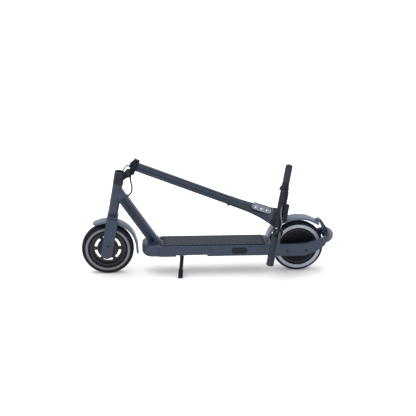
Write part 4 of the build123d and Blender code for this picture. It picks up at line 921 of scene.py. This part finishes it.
# slim swivel ring with its release tab
B = Build()
B.lathe([(21.2, 483.1), (21.9, 483.6), (21.9, 495.6), (21.2, 496.3), (15.4, 496.3), (15.4, 483.1)], B0, SD, 96, closed=True)
B.block(stem(-7.0, -22.5, 490.0), SD, Y, SU, 5.6, 3.4, 2.2, 0.8)
add(B.obj("swivel_ring", M["neck"]), "stem", "dark_metal", "swivel_collar")

# ------------------------------------------------------------------ stem trim
B = Build()
for s_ in (29.0,):
    B.lathe([(21.3, s_ - 1.2), (22.1, s_ - 0.8), (22.1, s_ + 0.8), (21.3, s_ + 1.2), (20.8, s_)], B0, SD, 96, closed=True)
add(B.obj("stem_rings", M["seam"]), "stem", "dark_metal")
B = Build()
for s_ in (12.0, 20.0):
    B.screw(stem(0, -22.0, s_) - Y * 0.0102, -Y, 2.4, 2.0, 1.2)
add(B.obj("stem_screws", M["dark_steel"]), "stem", "steel")
B = Build()
for k in range(5):
    B.block(stem(0, 32.3, 12.0 + 4.0 * k), SD, Y, SU, 0.8, 8.6, 0.7, 0.4)
add(B.obj("latch_ribs", M["black_plastic"]), "latch", "dark_metal")

# ------------------------------------------------------------------ handlebar
GA = BU
for nm, a0, a1 in (("grip_right", 165.0, 273.5), ("grip_left", -131.0, -273.5)):
    sg = 1 if a1 > a0 else -1
    L = abs(a1 - a0)
    prof = [(11.15, 0.2), (16.8, 0.2), (17.6, 0.9), (17.8, 2.2), (17.6, 3.4), (16.6, 4.2), (16.3, 5.0)]
    h = 6.0
    while h < L - 14:
        prof += [(16.3, h), (17.0, h + 0.7), (17.0, h + 2.9), (16.3, h + 3.6)]
        h += 4.4
    prof += [(16.4, L - 9.0), (17.1, L - 8.0), (17.3, L - 5.0), (17.1, L - 2.4), (16.0, L - 0.9), (14.2, L - 0.2), (9.0, L), (8.6, L - 0.9), (0.1, L - 0.9)]
    B = Build()
    B.lathe(prof, BARC + BU * a0 * K, BU * sg, 56)
    add(B.obj(nm, M["grip"], 50), "handlebar", "grip_rubber", *(("grips",) if sg > 0 else ()))

# brake lever blade
st = [(-108.6, 30.0, 2.5, 5.6), (-110.5, 30.0, 6.2, 6.6), (-116.0, 30.6, 7.4, 6.9), (-122.0, 32.6, 7.2, 6.9), (-128.0, 35.8, 5.6, 6.8), (-136.0, 39.2, 4.0, 6.6),
      (-150.0, 43.4, 3.2, 5.6), (-175.0, 46.0, 2.9, 5.2), (-200.0, 47.5, 2.8, 5.1), (-222.0, 48.3, 2.8, 5.3), (-238.0, 48.4, 3.0, 5.8), (-245.5, 48.1, 3.2, 5.8),
      (-249.5, 47.8, 2.9, 5.8), (-251.2, 47.7, 2.0, 4.2), (-251.6, 47.7, 0.7, 1.6)]
cp = catmull([Vector((a, b, 0)) for a, b, c, d in st], 4)
ch = catmull([Vector((c, d, 0)) for a, b, c, d in st], 4)
rings = []
for i, (p, q) in enumerate(zip(cp, ch)):
    d = cp[min(i + 1, len(cp) - 1)] - cp[max(i - 1, 0)]
    d.normalize()
    nx, ny = -d.y, d.x
    ring = []
    for k in range(24):
        t = 2 * pi * k / 24
        ca, sa = cos(t), sin(t)
        e = 0.62
        ex = math.copysign(abs(ca) ** e, ca) * q.x
        ez = math.copysign(abs(sa) ** e, sa) * q.y
        ring.append(bar(p.x + nx * ex, p.y + ny * ex, 7.0 + ez))
    rings.append(ring)
B = Build()
B.loft(rings)
add(B.obj("lever_blade", M["lever"], 50), "brake", "alloy", "brake_lever")
B = Build()
B.screw(bar(-116, 31, 20.0), SD, 3.6, 1.6, 1.7)
B.screw(bar(-125, 14, 20.0), SD, 2.4, 1.2, 1.2)
B.screw(bar(-112, 40.0, 15.6), BF, 2.3, 1.2, 1.2)
add(B.obj("perch_screws", M["dark_steel"]), "handlebar", "steel")
# cable adjuster and line over the front of the bar
BC = [bar(-95.5, 27.0, 8.0), bar(-78.0, 28.0, 11.5), bar(-54.0, 27.5, 9.5), bar(-26.0, 25.2, -0.5), bar(2.0, 23.2, -4.0), bar(29.75, 21.6, -3.0)]
route = nurbs(BC, 14)
B = Build()
B.tube(route, 2.4, 16)
add(B.obj("brake_line", M["cable_grey"]), "handlebar", "cable_grey", "brake_cable")
B = Build()
d0 = (BC[1] - BC[0]).normalized()
B.lathe([(3.9, -1.5), (3.9, 2.4), (3.2, 2.8), (3.2, 6.4), (3.9, 6.8), (3.9, 8.8), (2.9, 9.4), (2.5, 9.5)], BC[0], d0, 24)
d1 = (BC[5] - BC[4]).normalized()
B.lathe([(4.6, 0.5), (4.6, -2.0), (3.3, -4.6), (2.6, -5.0)], BC[5], d1, 24)
add(B.obj("line_ends", M["dark_steel"]), "handlebar", "steel")
B = Build()
for a in (-79.0, 125.0):
    B.lathe([(18.05, a - 1.0), (18.6, a - 0.6), (18.6, a + 0.6), (18.05, a + 1.0), (17.4, a)], BARC, BU, 72, closed=True)
for a in (132.0, 144.0):
    B.lathe([(19.3, a - 0.9), (19.9, a - 0.5), (19.9, a + 0.5), (19.3, a + 0.9), (18.8, a)], BARC, BU, 72, closed=True)
add(B.obj("shroud_rings", M["black_plastic"]), "handlebar", "black_plastic")
# bell dome skin and its rim
B = Build()
B.lathe([(14.15, 17.9), (14.4, 18.6), (14.3, 21.5), (13.2, 25.0), (10.6, 27.9), (7.0, 29.2), (3.0, 29.6), (0.1, 29.65)], bar(-90, 0, 0), SD, 48)
add(B.obj("bell_dome", M["bell"]), "handlebar", "dark_metal")
# display window
B = Build()
plate(B, rrect(29.4, 11.4, 4.6), bar(-1.0, 6.5, 32.0), BU, BF, SD, ((0, -0.2), (0, 0.75), (0.4, 0.95)))
add(B.obj("display_glass", M["glass_black"]), "handlebar", "clear_lens")
B = Build()
plate(B, rrect(9.0, 4.2, 1.2, 3), bar(-8.0, 6.5, 32.95), BU, BF, SD, ((0, -0.1), (0.1, 0.12)))
for k in range(4):
    plate(B, rrect(1.5, 1.0, 0.4, 2), bar(8.0 + 4.6 * k, 6.5, 32.95), BU, BF, SD, ((0, -0.1), (0.1, 0.12)))
add(B.obj("display_segments", M["seg"]), "handlebar", "clear_lens")

# headlight: bezel, bowls, light points, cover
B = Build()
plate(B, slot_pts(94.0, 31.0, 16), HLO, HLX, HLY, HLZ, ((0, 0.2), (0, 9.6), (2.5, 9.6), (3.5, 5.2), (10.0, 5.0)))
add(B.obj("headlight_tray", M["tray"]), "handlebar", "dark_metal")
B = Build()
frame_ring(B, slot_pts(93.6, 30.6, 18), HLO, HLX, HLY, HLZ,
           [(-1.9, 8.6), (1.7, 8.6), (1.7, 11.2), (1.25, 12.1), (0.4, 12.5), (-0.6, 12.4), (-1.5, 11.9), (-1.9, 11.0)])
add(B.obj("headlight_bezel", M["bezel"]), "handlebar", "alloy", "headlight_housing")
B = Build()
for q in (-28.0, 0.0, 28.0):
    B.lathe([(11.4, 9.0), (10.2, 7.6), (8.2, 6.4), (5.6, 5.6), (3.2, 5.3), (3.0, 4.9), (11.9, 4.9), (12.0, 9.0)], HLO + HLX * q * K, HLZ, 40, closed=True)
add(B.obj("headlight_bowls", M["bowl"]), "handlebar", "alloy")
B = Build()
for q in (-28.0, 0.0, 28.0):
    B.lathe([(3.0, 5.2), (2.8, 6.4), (2.0, 7.2), (0.1, 7.5)], HLO + HLX * q * K, HLZ, 24)
add(B.obj("headlight_leds", M["led"]), "handlebar", "clear_lens")
B = Build()
plate(B, slot_pts(90.0, 27.0, 18), HLO, HLX, HLY, HLZ, ((0.2, 9.8), (0.2, 10.8), (1.2, 11.3), (3.5, 11.7), (8.0, 12.0)))
add(B.obj("headlight_cover", M["clear"]), "handlebar", "clear_lens", "headlight_lens")

B = Build()
frame_ring(B, slot_pts(97.4, 34.4, 20), HLO, HLX, HLY, HLZ,
           [(-0.1, 3.0), (4.2, 3.0), (4.2, 10.0), (3.4, 13.0), (2.2, 14.0), (0.8, 13.6), (-0.1, 12.4)])
add(B.obj("headlight_cowl", M["black_plastic"]), "handlebar", "black_plastic")
B = Build()
rings = []
for s_, a_, b_, y_, x_, g_ in ((697.0, 43.8, 20.4, 19.0, -13.2, -0.3), (699.0, 44.4, 20.3, 19.7, -13.7, 0.8), (708.0, 47.0, 20.0, 23.0, -16.0, 0.9),
                               (718.0, 49.7, 19.5, 28.2, -18.6, 0.9), (726.0, 51.7, 19.1, 32.4, -20.7, 0.9), (727.4, 52.0, 19.0, 33.0, -21.0, -0.4)):
    rings.append([B0 + SD * s_ * K + BU * (x_ + (a_ + g_) * cos(2 * pi * k / 72)) * K + BF * (y_ + (b_ + g_) * sin(2 * pi * k / 72)) * K
                  for k in range(72)])
B.loft(rings)
add(B.obj("neck_cowl", M["black_plastic"], 45), "handlebar", "black_plastic")
# control sleeve between the neck and the throttle
B = Build()
rings = []
for a_, g_ in ((34.0, -3.0), (35.5, 0.0), (60.0, 0.4), (100.0, 0.2), (122.0, 0.0), (123.6, -1.6)):
    rings.append([BARC + BU * a_ * K + BF * (19.3 + g_) * cos(2 * pi * k / 64) * K + SD * (2.2 + (20.6 + g_) * sin(2 * pi * k / 64)) * K
                  for k in range(64)])
B.loft(rings)
add(B.obj("control_sleeve", M["black_plastic"], 45), "handlebar", "black_plastic")
B = Build()
for a_ in (52.0, 88.0):
    rings = [[BARC + BU * (a_ + h) * K + BF * (19.6 + r) * cos(2 * pi * k / 64) * K + SD * (2.2 + (20.9 + r) * sin(2 * pi * k / 64)) * K
              for k in range(64)] for r, h in ((-0.6, -1.0), (0.5, -0.6), (0.5, 0.6), (-0.6, 1.0))]
    B.loft(rings)
add(B.obj("sleeve_lines", M["seam"], 45), "handlebar", "black_plastic")
# hook boss at the back of the rear mudguard
B = Build()
HB = Vector((gx(997.5), 0, 0.2485))
B.lathe([(5.0, -11.0), (8.2, -10.4), (9.4, -8.6), (9.4, 8.6), (8.2, 10.4), (5.0, 11.0)], HB, Y, 40)
B.block(HB + Vector((-0.008, 0, -0.002)), Vector((0.92, 0, -0.39)), Y, Vector((0.39, 0, 0.92)), 8.0, 9.6, 4.5, 1.4)
add(B.obj("hook_boss", M["guard"]), "frame", "guard_plastic")

# ------------------------------------------------------------------ stage
fl = bpy.data.meshes.new("floor")
fl.from_pydata([(-45, -45, -0.0006), (45, -45, -0.0006), (45, 45, -0.0006), (-45, 45, -0.0006)], [], [(0, 1, 2, 3)])
floor = bpy.data.objects.new("floor", fl)
bpy.context.scene.collection.objects.link(floor)
fm, fnt, fb, fvec = shader("floor_white")
fnt.links.new(ramp(fnt, noise(fnt, fvec, 1.5, 2), [(0.3, (0.93, 0.93, 0.935)), (0.7, (0.95, 0.95, 0.955))]), fb.inputs["Base Color"])
fb.inputs["Roughness"].default_value = 0.9
fl.materials.append(fm)

world = bpy.data.worlds.new("soft")
bpy.context.scene.world = world
world.use_nodes = True
bg = world.node_tree.nodes["Background"]
wt = world.node_tree
wc = wt.nodes.new("ShaderNodeTexCoord")
wx = wt.nodes.new("ShaderNodeSeparateXYZ")
wt.links.new(wc.outputs["Generated"], wx.inputs[0])
# a studio that is brighter at the front left and dimmer at the rear right
wt.links.new(ramp(wt, remap(wt, wx.outputs[0], 0.0, 1.0, -1.0, 1.0), [(0.0, (1.30, 1.30, 1.31)), (0.45, (1.10, 1.10, 1.10)), (1.0, (0.90, 0.90, 0.905))]), bg.inputs["Color"])
bg.inputs["Strength"].default_value = 1.0


def area(name, loc, target, size, power, color=(1, 1, 1)):
    d = bpy.data.lights.new(name, "AREA")
    d.shape = "RECTANGLE"
    d.size, d.size_y = size
    d.energy = power
    d.color = color
    o = bpy.data.objects.new(name, d)
    bpy.context.scene.collection.objects.link(o)
    o.location = loc
    v = Vector(target) - Vector(loc)
    o.rotation_euler = v.to_track_quat("-Z", "Y").to_euler()
    return o


area("key", (-1.2, -1.0, 3.4), (0, 0, 0.2), (2.6, 1.8), 46)
area("top", (0.4, 0.9, 3.2), (0, 0, 0.2), (3.0, 1.6), 40)
area("fill", (2.4, -2.6, 1.6), (0.1, 0, 0.2), (2.2, 2.2), 8)
bpy.context.scene.view_settings.view_transform = "Standard"
